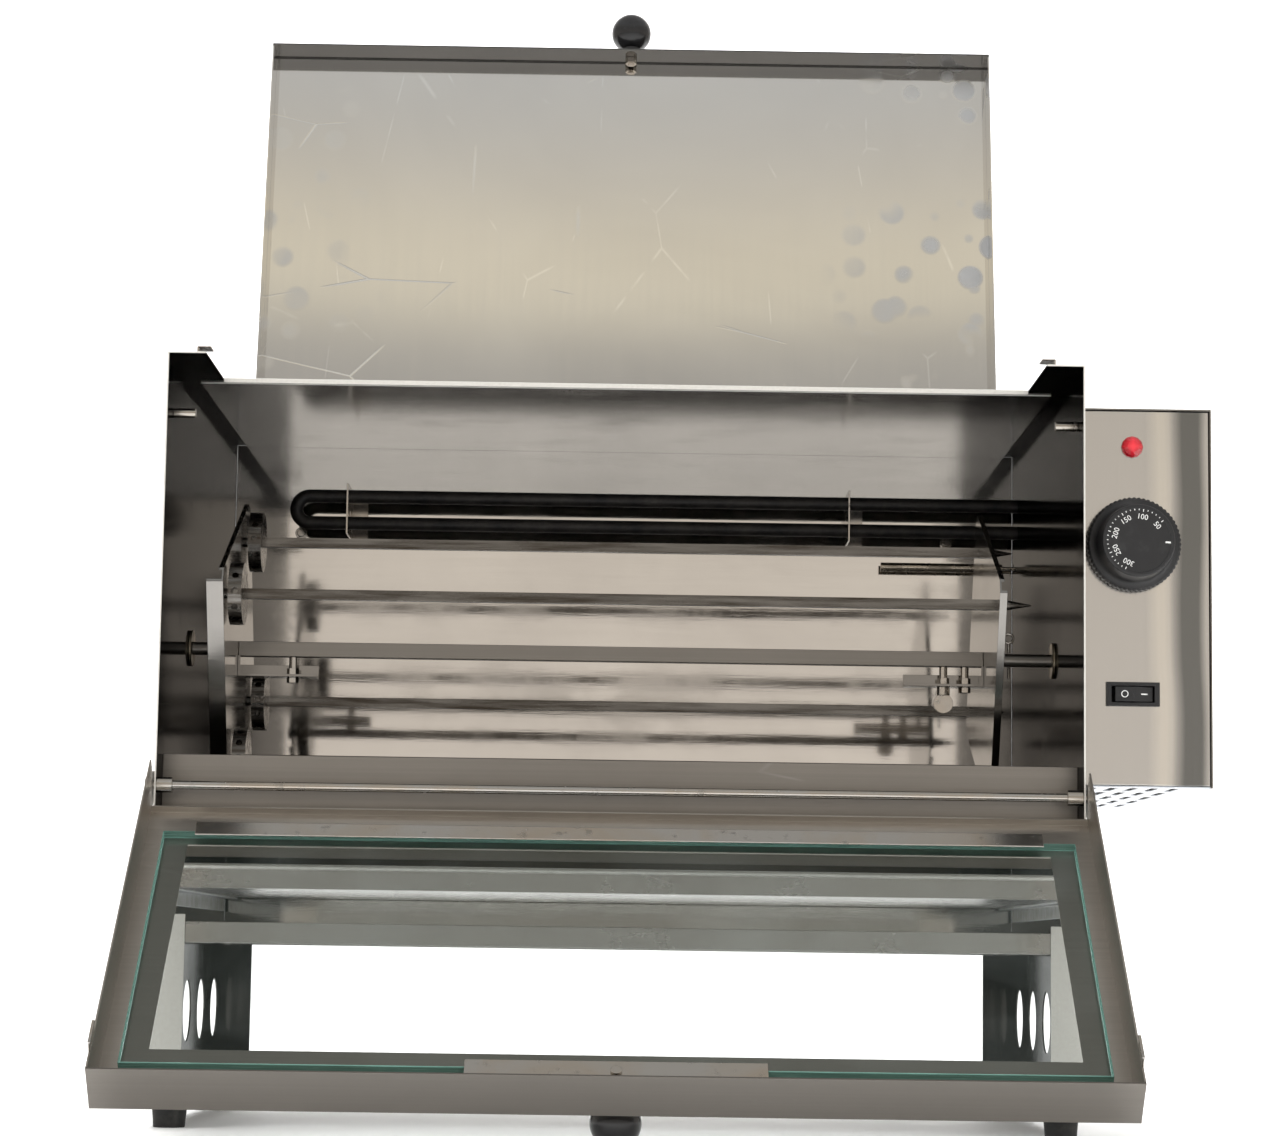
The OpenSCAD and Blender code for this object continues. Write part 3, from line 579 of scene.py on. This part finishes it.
def zinc():
    """Zinc plate: a dull grey with a faint spangle."""
    s = Shader("zinc", Metallic=1.0)
    spangle = s.cells(130.0)
    s.set(Base_Color=s.blend(s.rise(spangle, 0.2, 0.8), (0.50, 0.51, 0.52), (0.40, 0.40, 0.39)))
    s.set(Roughness=0.36 + spangle * 0.12)
    s.bump(s.noise(300.0, 3), 0.1, 0.1 * MM)
    return s.material


FINISHES = {
    "mirror_steel": polished_steel,
    "side_steel": side_steel,
    "roof_steel": roof_steel,
    "wheel_steel": wheel_steel,
    "door_steel": door_steel,
    "satin_steel": satin_steel,
    "brushed_steel": brushed_steel,
    "bright_steel": bright_steel,
    "lid_steel": lid_steel,
    "panel_steel": panel_steel,
    "cut_steel": cut_steel,
    "skewer_steel": skewer_steel,
    "heater_black": heater_black,
    "bronze": lambda: warm_metal("bronze", (0.34, 0.29, 0.21), 0.34),
    "copper": lambda: warm_metal("copper", (0.50, 0.44, 0.36), 0.22),
    "black_plastic": lambda: plastic("black_plastic", tuple(colours().plastic), 0.38),
    "black_gloss": lambda: plastic("black_gloss", shade(colours().plastic, 0.8), 0.16, 0.05, 0.12),
    "cream_plastic": lambda: plastic("cream_plastic", (0.74, 0.71, 0.60), 0.45),
    "rubber": rubber,
    "glass": clear_glass,
    "glass_edge": cut_edge,
    "red_lens": lamp_red,
    "white_paint": paint_white,
    "printed": printed,
    "zinc": zinc,
}


def finish(name):
    """The material of that name, made on its first use."""
    store = bpy.context.scene.get("oven_finishes", {})
    if name not in store:
        made = FINISHES[name]()
        bpy.context.scene["oven_finishes"] = {**dict(store), name: made.name}
        return made
    return bpy.data.materials[store[name]]


# ---------------------------------------------------------------- surfaces
def set_up(name, mesh, material, body):
    """An object for a finished mesh, at the origin, riding on a body."""
    mesh.materials.clear()
    mesh.materials.append(finish(material))
    piece = bpy.data.objects.new(name, mesh)
    bpy.context.scene.collection.objects.link(piece)
    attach(piece, body)
    return piece


def new_piece(name, points, faces, material, body, place=None, sharp=32.0):
    """A closed mesh object from arrays, moved to its place if it isn't there yet."""
    mesh = bpy.data.meshes.new(name)
    mesh.from_pydata(np.asarray(points).tolist(), [], [list(face) for face in faces])
    mesh.update()
    if place is not None:
        mesh.transform(place)
    tidy_mesh(mesh, sharp=sharp)
    return set_up(name, mesh, material, body)


def grid_faces(rows, columns, wrap_rows=False, wrap_columns=True):
    """Quads of a grid of rows by columns points, closed round on itself where asked."""
    row = np.arange(rows if wrap_rows else rows - 1)[:, None]
    column = np.arange(columns if wrap_columns else columns - 1)[None, :]
    below, beside = (row + 1) % rows, (column + 1) % columns
    corners = (row * columns + column, row * columns + beside,
               below * columns + beside, below * columns + column)
    return np.stack([c.ravel() for c in corners], axis=1)


def turned(profile, centre, axis, sides, ribs=0, rib_depth=0.0, rib_from=0.0):
    """A profile of (radius, height) points carried once round an axis.

    The point at angle t is centre + height * axis + radius * (cos t * u + sin t * v). Where the
    radius is above rib_from it is lowered by rib_depth * (1 - |sin(ribs * t / 2)|), for a grip.
    """
    profile = np.asarray(profile, float)
    axis = Vector(axis).normalized()
    u = axis.orthogonal().normalized()
    v = axis.cross(u)
    turn = np.arange(sides) * FULL_TURN / sides
    radius = np.repeat(profile[:, :1], sides, axis=1)
    if ribs:
        groove = rib_depth * (1 - np.abs(np.sin(ribs * turn / 2)))
        radius = radius - groove[None, :] * (profile[:, :1] > rib_from)
    rings = (np.array(centre) + profile[:, 1][:, None, None] * np.array(axis)
             + radius[..., None] * (np.cos(turn)[None, :, None] * np.array(u)
                                    + np.sin(turn)[None, :, None] * np.array(v)))
    return rings.reshape(-1, 3), grid_faces(len(profile), sides)


def closed_turned(name, profile, centre, axis, material, body, slot, sides=None, **ribs):
    """A turned piece whose poles, at radius 0, are merged so that it is a closed solid."""
    points, faces = turned(profile, centre, axis, sides or sizes().knob_smooth, **ribs)
    return new_piece(name, points, faces, material, body)


def tidy_mesh(mesh, flatten=False, sharp=32.0):
    """Merges doubles, drops faces with no area and turns every face outwards.

    flatten joins triangles that lie in one plane. Edges over sharp degrees stay sharp.
    """
    work = bmesh.new()
    work.from_mesh(mesh)
    bmesh.ops.remove_doubles(work, verts=work.verts, dist=0.002 * MM)
    bmesh.ops.dissolve_degenerate(work, edges=work.edges, dist=0.001 * MM)
    if flatten:
        bmesh.ops.dissolve_limit(work, angle_limit=math.radians(0.5), verts=work.verts,
                                 edges=work.edges)
    bmesh.ops.recalc_face_normals(work, faces=work.faces)
    work.to_mesh(mesh)
    work.free()
    mesh.shade_smooth()
    mesh.set_sharp_from_angle(angle=math.radians(sharp))


def arc(centre, radius, start, stop, steps):
    """Points (radius, height) along an arc, angles in degrees from the outward direction."""
    turn = np.radians(np.linspace(start, stop, steps))
    return np.stack([centre[0] + radius * np.cos(turn), centre[1] + radius * np.sin(turn)],
                    axis=1).tolist()


def swept(path, radius, sides):
    """A round tube along a path, capped at both ends.

    The point at angle t is path + radius * (cos t * side + sin t * over), where side and over
    are square to the path's tangent and to each other.
    """
    path = np.asarray(path, float)
    tangent = np.gradient(path, axis=0)
    tangent /= np.linalg.norm(tangent, axis=1)[:, None]
    side = np.cross(tangent, (0.0, 1.0, 0.0))
    side /= np.linalg.norm(side, axis=1)[:, None]
    over = np.cross(side, tangent)
    turn = np.arange(sides) * FULL_TURN / sides
    rings = path[:, None] + radius * (np.cos(turn)[None, :, None] * side[:, None]
                                      + np.sin(turn)[None, :, None] * over[:, None])
    first_ring = np.arange(sides)
    caps = [first_ring[::-1].tolist(), (first_ring + (len(path) - 1) * sides).tolist()]
    return rings.reshape(-1, 3), grid_faces(len(path), sides).tolist() + caps


def dressed(node, material=None, width=None, segments=2):
    """A closed copy of a CAD node with softly rounded edges, in the node's place."""
    source = frame["nodes"][node]
    mesh = source.data.copy()
    mesh.transform(source.matrix_world)
    tidy_mesh(mesh, flatten=True)
    piece = set_up(node + "_finished", mesh, material or SLOT_OF[node], BODY_OF[node])
    bevel = piece.modifiers.new("edge_round", "BEVEL")
    bevel.width = sizes().edge_round if width is None else width
    bevel.segments = segments
    bevel.limit_method = "ANGLE"
    bevel.angle_limit = math.radians(40)
    level = piece.modifiers.new("level_faces", "WEIGHTED_NORMAL")
    level.mode = "FACE_AREA"
    level.weight = 100
    level.keep_sharp = True
    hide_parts(node)
    return piece


def second_finish(piece, material, chosen):
    """Gives another finish to the faces that chosen picks by their centres and normals."""
    faces = piece.data.polygons
    centres, normals = np.empty(3 * len(faces)), np.empty(3 * len(faces))
    faces.foreach_get("center", centres)
    faces.foreach_get("normal", normals)
    piece.data.materials.append(finish(material))
    picked = chosen(centres.reshape(-1, 3), normals.reshape(-1, 3))
    faces.foreach_set("material_index", picked.astype(np.int32))


# ---------------------------------------------------------------- operators
class Step:
    """What the operators share: they work on the loaded frame and can be undone."""
    bl_options = {"REGISTER", "UNDO"}


class OVEN_OT_cabinet(Step, bpy.types.Operator):
    """Finish the cabinet's sheets, rails, feet and hardware"""
    bl_idname = "oven.cabinet"
    bl_label = "Cabinet"

    def execute(self, context):
        for node in ("back_panel", "apron_panel", "base_rail_front", "base_rail_rear",
                     "tray_runners", "feet", "foot_screws", "door_hinge_rod", "hinge_spacers",
                     "latch_studs", "lid_rest_tabs", "lid_hinge_brackets", "lid_hinge_pins",
                     "back_panel_screws"):
            dressed(node)
        # Painted highlight: the side panels' front edges and the roof's front hem get a pale finish.
        for node in ("side_panel_left", "side_panel_right"):
            second_finish(dressed(node, material="side_steel"), "cut_steel",
                          lambda centres, normals: centres[:, 1] < FRONT_Y + 0.1 * MM)
        second_finish(dressed("roof_panel", material="roof_steel"), "cut_steel",
                      lambda centres, normals: (normals[:, 1] < -0.9)
                      & (centres[:, 2] > TOP_Z - 3.2 * MM))
        return {"FINISHED"}


class OVEN_OT_heater(Step, bpy.types.Operator):
    """Bend the heater tube and finish its clips, terminals and probe"""
    bl_idname = "oven.heater"
    bl_label = "Heater"

    def execute(self, context):
        """The path runs straight in from the right, round half a circle and straight out."""
        low, high = corners_of("heater_element")
        radius = (high.y - low.y) / 2
        bend = (high.z - low.z) / 2 - radius
        centre = Vector((low.x + radius + bend, low.y + radius, (low.z + high.z) / 2))
        ends = np.linspace(high.x, centre.x, 12)[:-1]
        turn = np.linspace(math.pi / 2, 3 * math.pi / 2, 33)
        loop = np.stack([centre.x + bend * np.cos(turn), np.full(turn.shape, centre.y),
                         centre.z + bend * np.sin(turn)], axis=1)
        upper = np.stack([ends, np.full(ends.shape, centre.y),
                          np.full(ends.shape, centre.z + bend)], axis=1)
        lower = upper[::-1] * (1, 1, 0) + (0, 0, centre.z - bend)
        points, faces = swept(np.concatenate([upper, loop, lower]), radius, 24)
        piece = new_piece("heater_tube", points, faces, "heater_black", "cabinet")
        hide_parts("heater_element")
        for node in ("heater_clips", "heater_terminals", "thermostat_bulb"):
            dressed(node, width=0.15 * MM)
        return {"FINISHED"}


class OVEN_OT_control_box(Step, bpy.types.Operator):
    """Finish the control box, its cover and what it holds"""
    bl_idname = "oven.control_box"
    bl_label = "Control box"

    def execute(self, context):
        dressed("control_panel", material="panel_steel")
        for node in ("control_box_cover", "vent_plate", "gear_motor",
                     "thermostat_body", "terminal_block", "cable_gland", "lamp_body",
                     "bearing_bush_left", "bearing_bush_right"):
            dressed(node)
        return {"FINISHED"}


class OVEN_OT_door(Step, bpy.types.Operator):
    """Finish the door's frame and hardware"""
    bl_idname = "oven.door"
    bl_label = "Door"

    def execute(self, context):
        dressed("door_frame", material="door_steel")
        for node in ("glass_retainer", "glass_clip", "clip_screw",
                     "door_catches", "door_knob_stud"):
            dressed(node)
        return {"FINISHED"}


class OVEN_OT_glass(Step, bpy.types.Operator):
    """Polish the glass and grind its edges"""
    bl_idname = "oven.glass"
    bl_label = "Glass"

    def execute(self, context):
        piece = dressed("door_glass", width=0.5 * MM)
        second_finish(piece, "glass_edge",
                      lambda centres, normals: np.abs(normals @ np.array(DOOR_OUTWARD)) < 0.7)
        piece.modifiers["edge_round"].material = 1
        return {"FINISHED"}


class OVEN_OT_lid(Step, bpy.types.Operator):
    """Finish the lid"""
    bl_idname = "oven.lid"
    bl_label = "Lid"

    def execute(self, context):
        dressed("lid_pan", material="lid_steel")
        dressed("lid_knob_stud")
        return {"FINISHED"}


class OVEN_OT_knobs(Step, bpy.types.Operator):
    """Turn the two ball knobs"""
    bl_idname = "oven.knobs"
    bl_label = "Ball knobs"

    def execute(self, context):
        """A short neck, then an arc of the ball's radius up to the pole furthest from it."""
        for node, outward in (("door_knob", DOOR_OUTWARD), ("lid_knob", LID_ALONG)):
            low, high = corners_of(node)
            ball = (high.x - low.x) / 2
            vertices = frame["nodes"][node].data.vertices
            points = np.empty(3 * len(vertices))
            vertices.foreach_get("co", points)
            reach = (points.reshape(-1, 3) @ np.array(outward)).max()
            centre = (low + high) / 2
            centre += outward * (reach - ball - centre.dot(outward))
            neck = ball * 0.44
            start = math.degrees(math.acos(neck / ball))
            profile = [(0.0, -ball * 1.08), (neck - 0.6 * MM, -ball * 1.08), (neck, -ball * 1.02)]
            profile += arc((0.0, 0.0), ball, -start, 90.0, 40)
            profile[-1] = (0.0, ball)
            piece = closed_turned(node + "_ball", profile, centre, outward, "black_gloss",
                                  BODY_OF[node], "black_gloss")
            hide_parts(node)
        return {"FINISHED"}


class OVEN_OT_carousel(Step, bpy.types.Operator):
    """Finish the axle, the wheels, the brackets and the skewers"""
    bl_idname = "oven.carousel"
    bl_label = "Carousel"

    def execute(self, context):
        dressed("axle", material="satin_steel", width=0.25 * MM)
        for node in ("wheel_left", "wheel_right", "hub_brackets"):
            dressed(node, material="wheel_steel", width=0.2 * MM)
        for node in ("bracket_screws", "thumb_screw", "cotter_pin", "drive_coupling"):
            dressed(node, width=0.25 * MM)
        for number in (1, 2, 3, 4):
            dressed(f"skewer_{number}", material="skewer_steel", width=0.25 * MM)
        return {"FINISHED"}


class OVEN_OT_drip_tray(Step, bpy.types.Operator):
    """Finish the drip tray"""
    bl_idname = "oven.drip_tray"
    bl_label = "Drip tray"

    def execute(self, context):
        low, high = corners_of("drip_tray")
        # Painted highlight: the tray's front hem gets a pale finish.
        second_finish(dressed("drip_tray"), "cut_steel",
                      lambda centres, normals: (centres[:, 1] < low.y + 3.3 * MM)
                      & (centres[:, 2] > high.z - 3.2 * MM))
        return {"FINISHED"}


class OVEN_OT_dial(Step, bpy.types.Operator):
    """Turn the temperature dial and print its marks and numbers"""
    bl_idname = "oven.dial"
    bl_label = "Dial"

    def execute(self, context):
        """A ribbed skirt, a step, and a narrower cap with a rounded rim and a sunken face."""
        low, high = corners_of("dial_knob")
        centre = Vector(((low.x + high.x) / 2, 0, (low.z + high.z) / 2))
        skirt = (high.x - low.x) / 2
        cap = skirt * 0.8
        face_y, skirt_y, back_y = low.y, low.y + 16 * MM, low.y + 24 * MM
        sunk = 0.35 * MM
        out = Vector((0, -1, 0))
        profile = [(0.0, -back_y), (skirt - 0.8 * MM, -back_y), (skirt, -back_y + 0.8 * MM),
                   (skirt, -skirt_y - 1.6 * MM), (skirt - 1.4 * MM, -skirt_y - 0.2 * MM),
                   (cap + 2.2 * MM, -skirt_y), (cap + 0.9 * MM, -skirt_y + 0.9 * MM),
                   (cap, -skirt_y + 2.4 * MM), (cap - 0.9 * MM, -face_y - 1.2 * MM)]
        profile += arc((cap - 2.1 * MM, -face_y - 1.2 * MM), 1.2 * MM, 0, 90, 6)
        profile += [(cap - 3.2 * MM, -face_y), (cap - 3.6 * MM, -face_y - sunk),
                    (0.0, -face_y - sunk)]
        ring = closed_turned("dial_body", profile, centre, out, "black_plastic", "dial",
                             "black_plastic", sides=sizes().dial_ribs * 6,
                             ribs=sizes().dial_ribs, rib_depth=0.7 * MM,
                             rib_from=skirt - 1.0 * MM)
        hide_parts("dial_knob")
        spindle = [(0.0, -high.y), (3 * MM, -high.y), (3 * MM, -back_y - 0.5 * MM),
                   (0.0, -back_y - 0.5 * MM)]
        closed_turned("dial_spindle", spindle, centre, out, "zinc", "dial", "bright_steel", 32)
        self.print_ticks(centre, face_y + sunk, cap)
        self.print_numbers(centre, face_y + sunk, cap)
        return {"FINISHED"}

    def print_ticks(self, centre, face, cap):
        """Short bars on a circle: one each ten degrees of heat, and a long pointer at zero.

        A bar at angle t has its corners at cap * reach * (cos t, sin t), half its width to
        either side along (-sin t, cos t), just above the face and just below it.
        """
        count = 26
        bars = np.empty((count + 1, 4))     # angle, inner reach, outer reach, half width
        bars[:count, 0] = np.linspace(DIAL_START, DIAL_START + DIAL_SPAN, count)
        bars[:count, 1] = np.where(np.arange(count) % 5, 0.80, 0.77)
        bars[:count, 2:] = 0.87, 0.22 * MM
        bars[count] = -3.0, 0.70, 0.86, 0.5 * MM
        turn, half = np.radians(bars[:, 0]), bars[:, 3]
        reach = cap * bars[:, (1, 2, 2, 1, 1, 2, 2, 1)]
        aside = half[:, None] * np.tile((-1, -1, 1, 1), 2)
        rise = np.repeat((face - sizes().mark_rise, face + 0.3 * MM), 4)
        cos, sin = np.cos(turn)[:, None], np.sin(turn)[:, None]
        points = np.stack([centre.x + reach * cos - aside * sin, np.tile(rise, (count + 1, 1)),
                           centre.z + reach * sin + aside * cos], axis=-1)
        box = np.array(((0, 1, 2, 3), (7, 6, 5, 4), (0, 4, 5, 1), (1, 5, 6, 2), (2, 6, 7, 3),
                        (3, 7, 4, 0)))
        faces = (np.arange(count + 1)[:, None, None] * 8 + box).reshape(-1, 4)
        new_piece("dial_ticks", points.reshape(-1, 3), faces.tolist(), "printed", "dial")

    def print_numbers(self, centre, face, cap):
        """Numbers from 50 to 300 round the dial, each with its top towards the rim."""
        for index in range(6):
            heat = 50 * (index + 1)
            t = math.radians(DIAL_START + DIAL_SPAN / 5 * index)
            place = (Matrix.Translation((centre.x + cap * 0.63 * math.cos(t), face,
                                         centre.z + cap * 0.63 * math.sin(t)))
                     @ Matrix.Rotation(math.radians(90), 4, "X")
                     @ Matrix.Rotation(t - math.pi / 2, 4, "Z"))
            flat_text(str(heat), f"dial_number_{heat}", 4.4 * MM, place, "dial")


def flat_text(words, name, size, place, body):
    """Raised print: a text made into a mesh, then carried to its place."""
    curve = bpy.data.curves.new(name, "FONT")
    curve.body = words
    curve.size = size
    curve.extrude = sizes().mark_rise
    curve.align_x = "CENTER"
    curve.align_y = "CENTER"
    curve.resolution_u = 3
    source = bpy.data.objects.new(name + "_source", curve)
    bpy.context.scene.collection.objects.link(source)
    bpy.context.view_layer.update()
    mesh = bpy.data.meshes.new_from_object(source)
    bpy.data.objects.remove(source)
    mesh.transform(place)
    mesh.name = name
    tidy_mesh(mesh)
    return set_up(name, mesh, "printed", body)


class OVEN_OT_switch(Step, bpy.types.Operator):
    """Mould the rocker switch and print its on and off marks"""
    bl_idname = "oven.switch"
    bl_label = "Rocker switch"

    def execute(self, context):
        """The off mark is a small square profile turned round, and the on mark a flat bar."""
        dressed("rocker_housing", width=0.5 * MM, segments=3)
        dressed("rocker_button", width=0.35 * MM, segments=3)
        low, high = corners_of("rocker_button")
        aside = (high.x - low.x) / 2 * 0.52
        tilt = math.radians(JOINT["rocker_tilt"]["range_deg"][1] / 2)
        facet = math.radians(7.6) * 1.4
        button = (Matrix.Translation(Vector(JOINT["rocker_tilt"]["pos_m"]))
                  @ Matrix.Rotation(tilt, 4, "Z"))
        off = (button @ Matrix.Translation((-aside, -5.6 * MM, 0))
               @ Matrix.Rotation(-facet, 4, "Z") @ Matrix.Rotation(math.radians(90), 4, "X"))
        circle, _faces = turned([(2.1 * MM, -0.3 * MM), (2.1 * MM, 0.25 * MM),
                                 (1.55 * MM, 0.25 * MM), (1.55 * MM, -0.3 * MM)],
                                (0, 0, 0), (0, 0, 1), 40)
        new_piece("rocker_off_mark", circle, grid_faces(4, 40, wrap_rows=True), "printed",
                  "rocker", place=off)
        on = (button @ Matrix.Translation((aside, -5.6 * MM, 0))
              @ Matrix.Rotation(facet, 4, "Z"))
        signs = np.indices((2, 2, 2)).reshape(3, -1).T * 2 - 1
        new_piece("rocker_on_mark", signs * (2.0 * MM, 0.3 * MM, 0.35 * MM),
                  [(0, 1, 3, 2), (4, 6, 7, 5), (0, 4, 5, 1), (2, 3, 7, 6), (0, 2, 6, 4),
                   (1, 5, 7, 3)], "printed", "rocker", place=on)
        return {"FINISHED"}


class OVEN_OT_lamp(Step, bpy.types.Operator):
    """Cut the signal lamp's faceted lens"""
    bl_idname = "oven.lamp"
    bl_label = "Signal lamp"

    def execute(self, context):
        """Rings of 12 points, each ring a share of the radius and of the lens's height.

        Point k of a ring is at angle (k + twist) / 12 of a turn, and one ring is twisted by
        half a step, so that the facets are kites.
        """
        low, high = corners_of("lamp_lens")
        radius = (high.x - low.x) / 2
        share, height, twist = np.array([
            (0.0, 0.0, 0.0), (0.96, 0.0, 0.0), (1.0, 0.10, 0.0), (1.0, 0.28, 0.0),
            (0.84, 0.62, 0.5), (0.52, 0.92, 0.0), (0.0, 1.0, 0.0)]).T[..., None]
        sides = 12
        turn = (np.arange(sides) + twist) * FULL_TURN / sides
        points = np.stack([(low.x + high.x) / 2 + radius * share * np.cos(turn),
                           high.y + (low.y - high.y) * np.repeat(height, sides, axis=1),
                           (low.z + high.z) / 2 + radius * share * np.sin(turn)], axis=-1)
        piece = new_piece("lamp_facets", points.reshape(-1, 3), grid_faces(len(share), sides),
                          "red_lens", "cabinet", sharp=4.0)
        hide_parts("lamp_lens")
        return {"FINISHED"}


class OVEN_OT_stage(Step, bpy.types.Operator):
    """Lay the floor and backdrop, light the stage and place the camera"""
    bl_idname = "oven.stage"
    bl_label = "Stage"

    def execute(self, context):
        context.scene.view_settings.view_transform = "Standard"
        self.lay_floor()
        self.set_world()
        for lamp in LAMPS:
            self.add_lamp(*lamp)
        self.place_camera()
        return {"FINISHED"}

    def lay_floor(self):
        """A floor that curves up into a backdrop: a profile carried along X.

        The profile is flat, then a quarter circle of radius bend about (flat, bend), then
        straight up.
        """
        flat, bend, half_width = 3.2, 1.2, 7.0
        turn = np.linspace(0, math.pi / 2, 17)
        run = np.concatenate([[-6.0], flat + bend * np.sin(turn), [flat + bend]])
        rise = np.concatenate([[0.0], bend - bend * np.cos(turn), [6.0]])
        points = np.stack([np.tile((-half_width, half_width), len(run)), np.repeat(run, 2),
                           np.repeat(rise, 2)], axis=1)
        faces = grid_faces(len(run), 2, wrap_columns=False)[:, ::-1]
        mesh = bpy.data.meshes.new("floor")
        mesh.from_pydata(points.tolist(), [], faces.tolist())
        mesh.shade_smooth()
        s = Shader("floor", Roughness=0.55)
        grain = s.noise(3.0, 4)
        s.set(Base_Color=s.blend(grain, (0.86, 0.86, 0.86), (0.92, 0.92, 0.92)))
        mesh.materials.append(s.material)
        floor = bpy.data.objects.new("floor", mesh)
        bpy.context.scene.collection.objects.link(floor)

    def set_world(self):
        """Soft room light: a warm band ahead of the oven, and a duller ceiling."""
        world = bpy.data.worlds.new("room")
        world.use_nodes = True
        nodes, links = world.node_tree.nodes, world.node_tree.links
        place = nodes.new("ShaderNodeTexCoord")
        split = nodes.new("ShaderNodeSeparateXYZ")
        ramp = nodes.new("ShaderNodeValToRGB")
        links.new(place.outputs["Generated"], split.inputs[0])
        links.new(split.outputs["Z"], ramp.inputs[0])
        for position, _colour in ROOM_BANDS[1:-1]:
            ramp.color_ramp.elements.new(position)
        for element, (_position, colour) in zip(ramp.color_ramp.elements, ROOM_BANDS):
            element.color = (*colour, 1.0)
        links.new(ramp.outputs[0], nodes["Background"].inputs["Color"])
        nodes["Background"].inputs["Strength"].default_value = 1.0
        bpy.context.scene.world = world

    def add_lamp(self, name, place, target, size, power):
        """A square lamp aimed at its target, which the steel doesn't mirror."""
        light = bpy.data.lights.new(name, "AREA")
        light.size = size
        light.energy = power
        lamp = bpy.data.objects.new(name, light)
        lamp.location = place
        aim = Vector(target) - Vector(place)
        lamp.rotation_euler = aim.to_track_quat("-Z", "Y").to_euler()
        lamp.visible_glossy = False
        bpy.context.scene.collection.objects.link(lamp)

    def place_camera(self):
        """Low and straight ahead, a long way off, tipped up a little and rolled slightly."""
        eye = Vector((MIDDLE_X, FRONT_Y, 0)) + Vector(EYE_FROM_FRONT)
        ahead = Vector((math.sin(EYE_TURN) * math.cos(EYE_TIP),
                        math.cos(EYE_TURN) * math.cos(EYE_TIP), math.sin(EYE_TIP)))
        right = ahead.cross(Vector((0, 0, 1))).normalized()
        up = right.cross(ahead)
        right, up = (right * math.cos(EYE_ROLL) + up * math.sin(EYE_ROLL),
                     up * math.cos(EYE_ROLL) - right * math.sin(EYE_ROLL))
        data = bpy.data.cameras.new("camera")
        data.lens = EYE_LENS
        data.sensor_width = EYE_SENSOR
        data.clip_start = 0.05
        camera = bpy.data.objects.new("camera", data)
        basis = Matrix((right, up, -ahead)).transposed().to_4x4()
        camera.matrix_world = Matrix.Translation(eye) @ basis
        bpy.context.scene.collection.objects.link(camera)
        bpy.context.scene.camera = camera


STEPS = (OVEN_OT_cabinet, OVEN_OT_heater, OVEN_OT_control_box, OVEN_OT_door, OVEN_OT_glass,
         OVEN_OT_lid, OVEN_OT_knobs, OVEN_OT_carousel, OVEN_OT_drip_tray, OVEN_OT_dial,
         OVEN_OT_switch, OVEN_OT_lamp, OVEN_OT_stage)


class OVEN_PT_panel(bpy.types.Panel):
    """Lists the oven's steps, sizes and colours"""
    bl_idname = "OVEN_PT_panel"
    bl_label = "Rotisserie Oven"
    bl_space_type = "VIEW_3D"
    bl_region_type = "UI"
    bl_category = "Oven"

    def draw(self, context):
        for step in STEPS:
            self.layout.operator(step.bl_idname)
        for group in (context.scene.oven_sizes, context.scene.oven_colours):
            for name in group.__annotations__:
                self.layout.prop(group, name)


CLASSES = (OvenSizes, OvenColours, *STEPS, OVEN_PT_panel)


def register():
    """Registers the classes and puts the sizes and colours on the scene."""
    for each in CLASSES:
        bpy.utils.register_class(each)
    bpy.types.Scene.oven_sizes = bpy.props.PointerProperty(type=OvenSizes)
    bpy.types.Scene.oven_colours = bpy.props.PointerProperty(type=OvenColours)


def unregister():
    """Takes back what register() added."""
    del bpy.types.Scene.oven_sizes
    del bpy.types.Scene.oven_colours
    for each in reversed(CLASSES):
        bpy.utils.unregister_class(each)


def main():
    """Runs every step."""
    register()
    for step in STEPS:
        group, call = step.bl_idname.split(".")
        getattr(getattr(bpy.ops, group), call)()


if __name__ == "__main__":
    main()
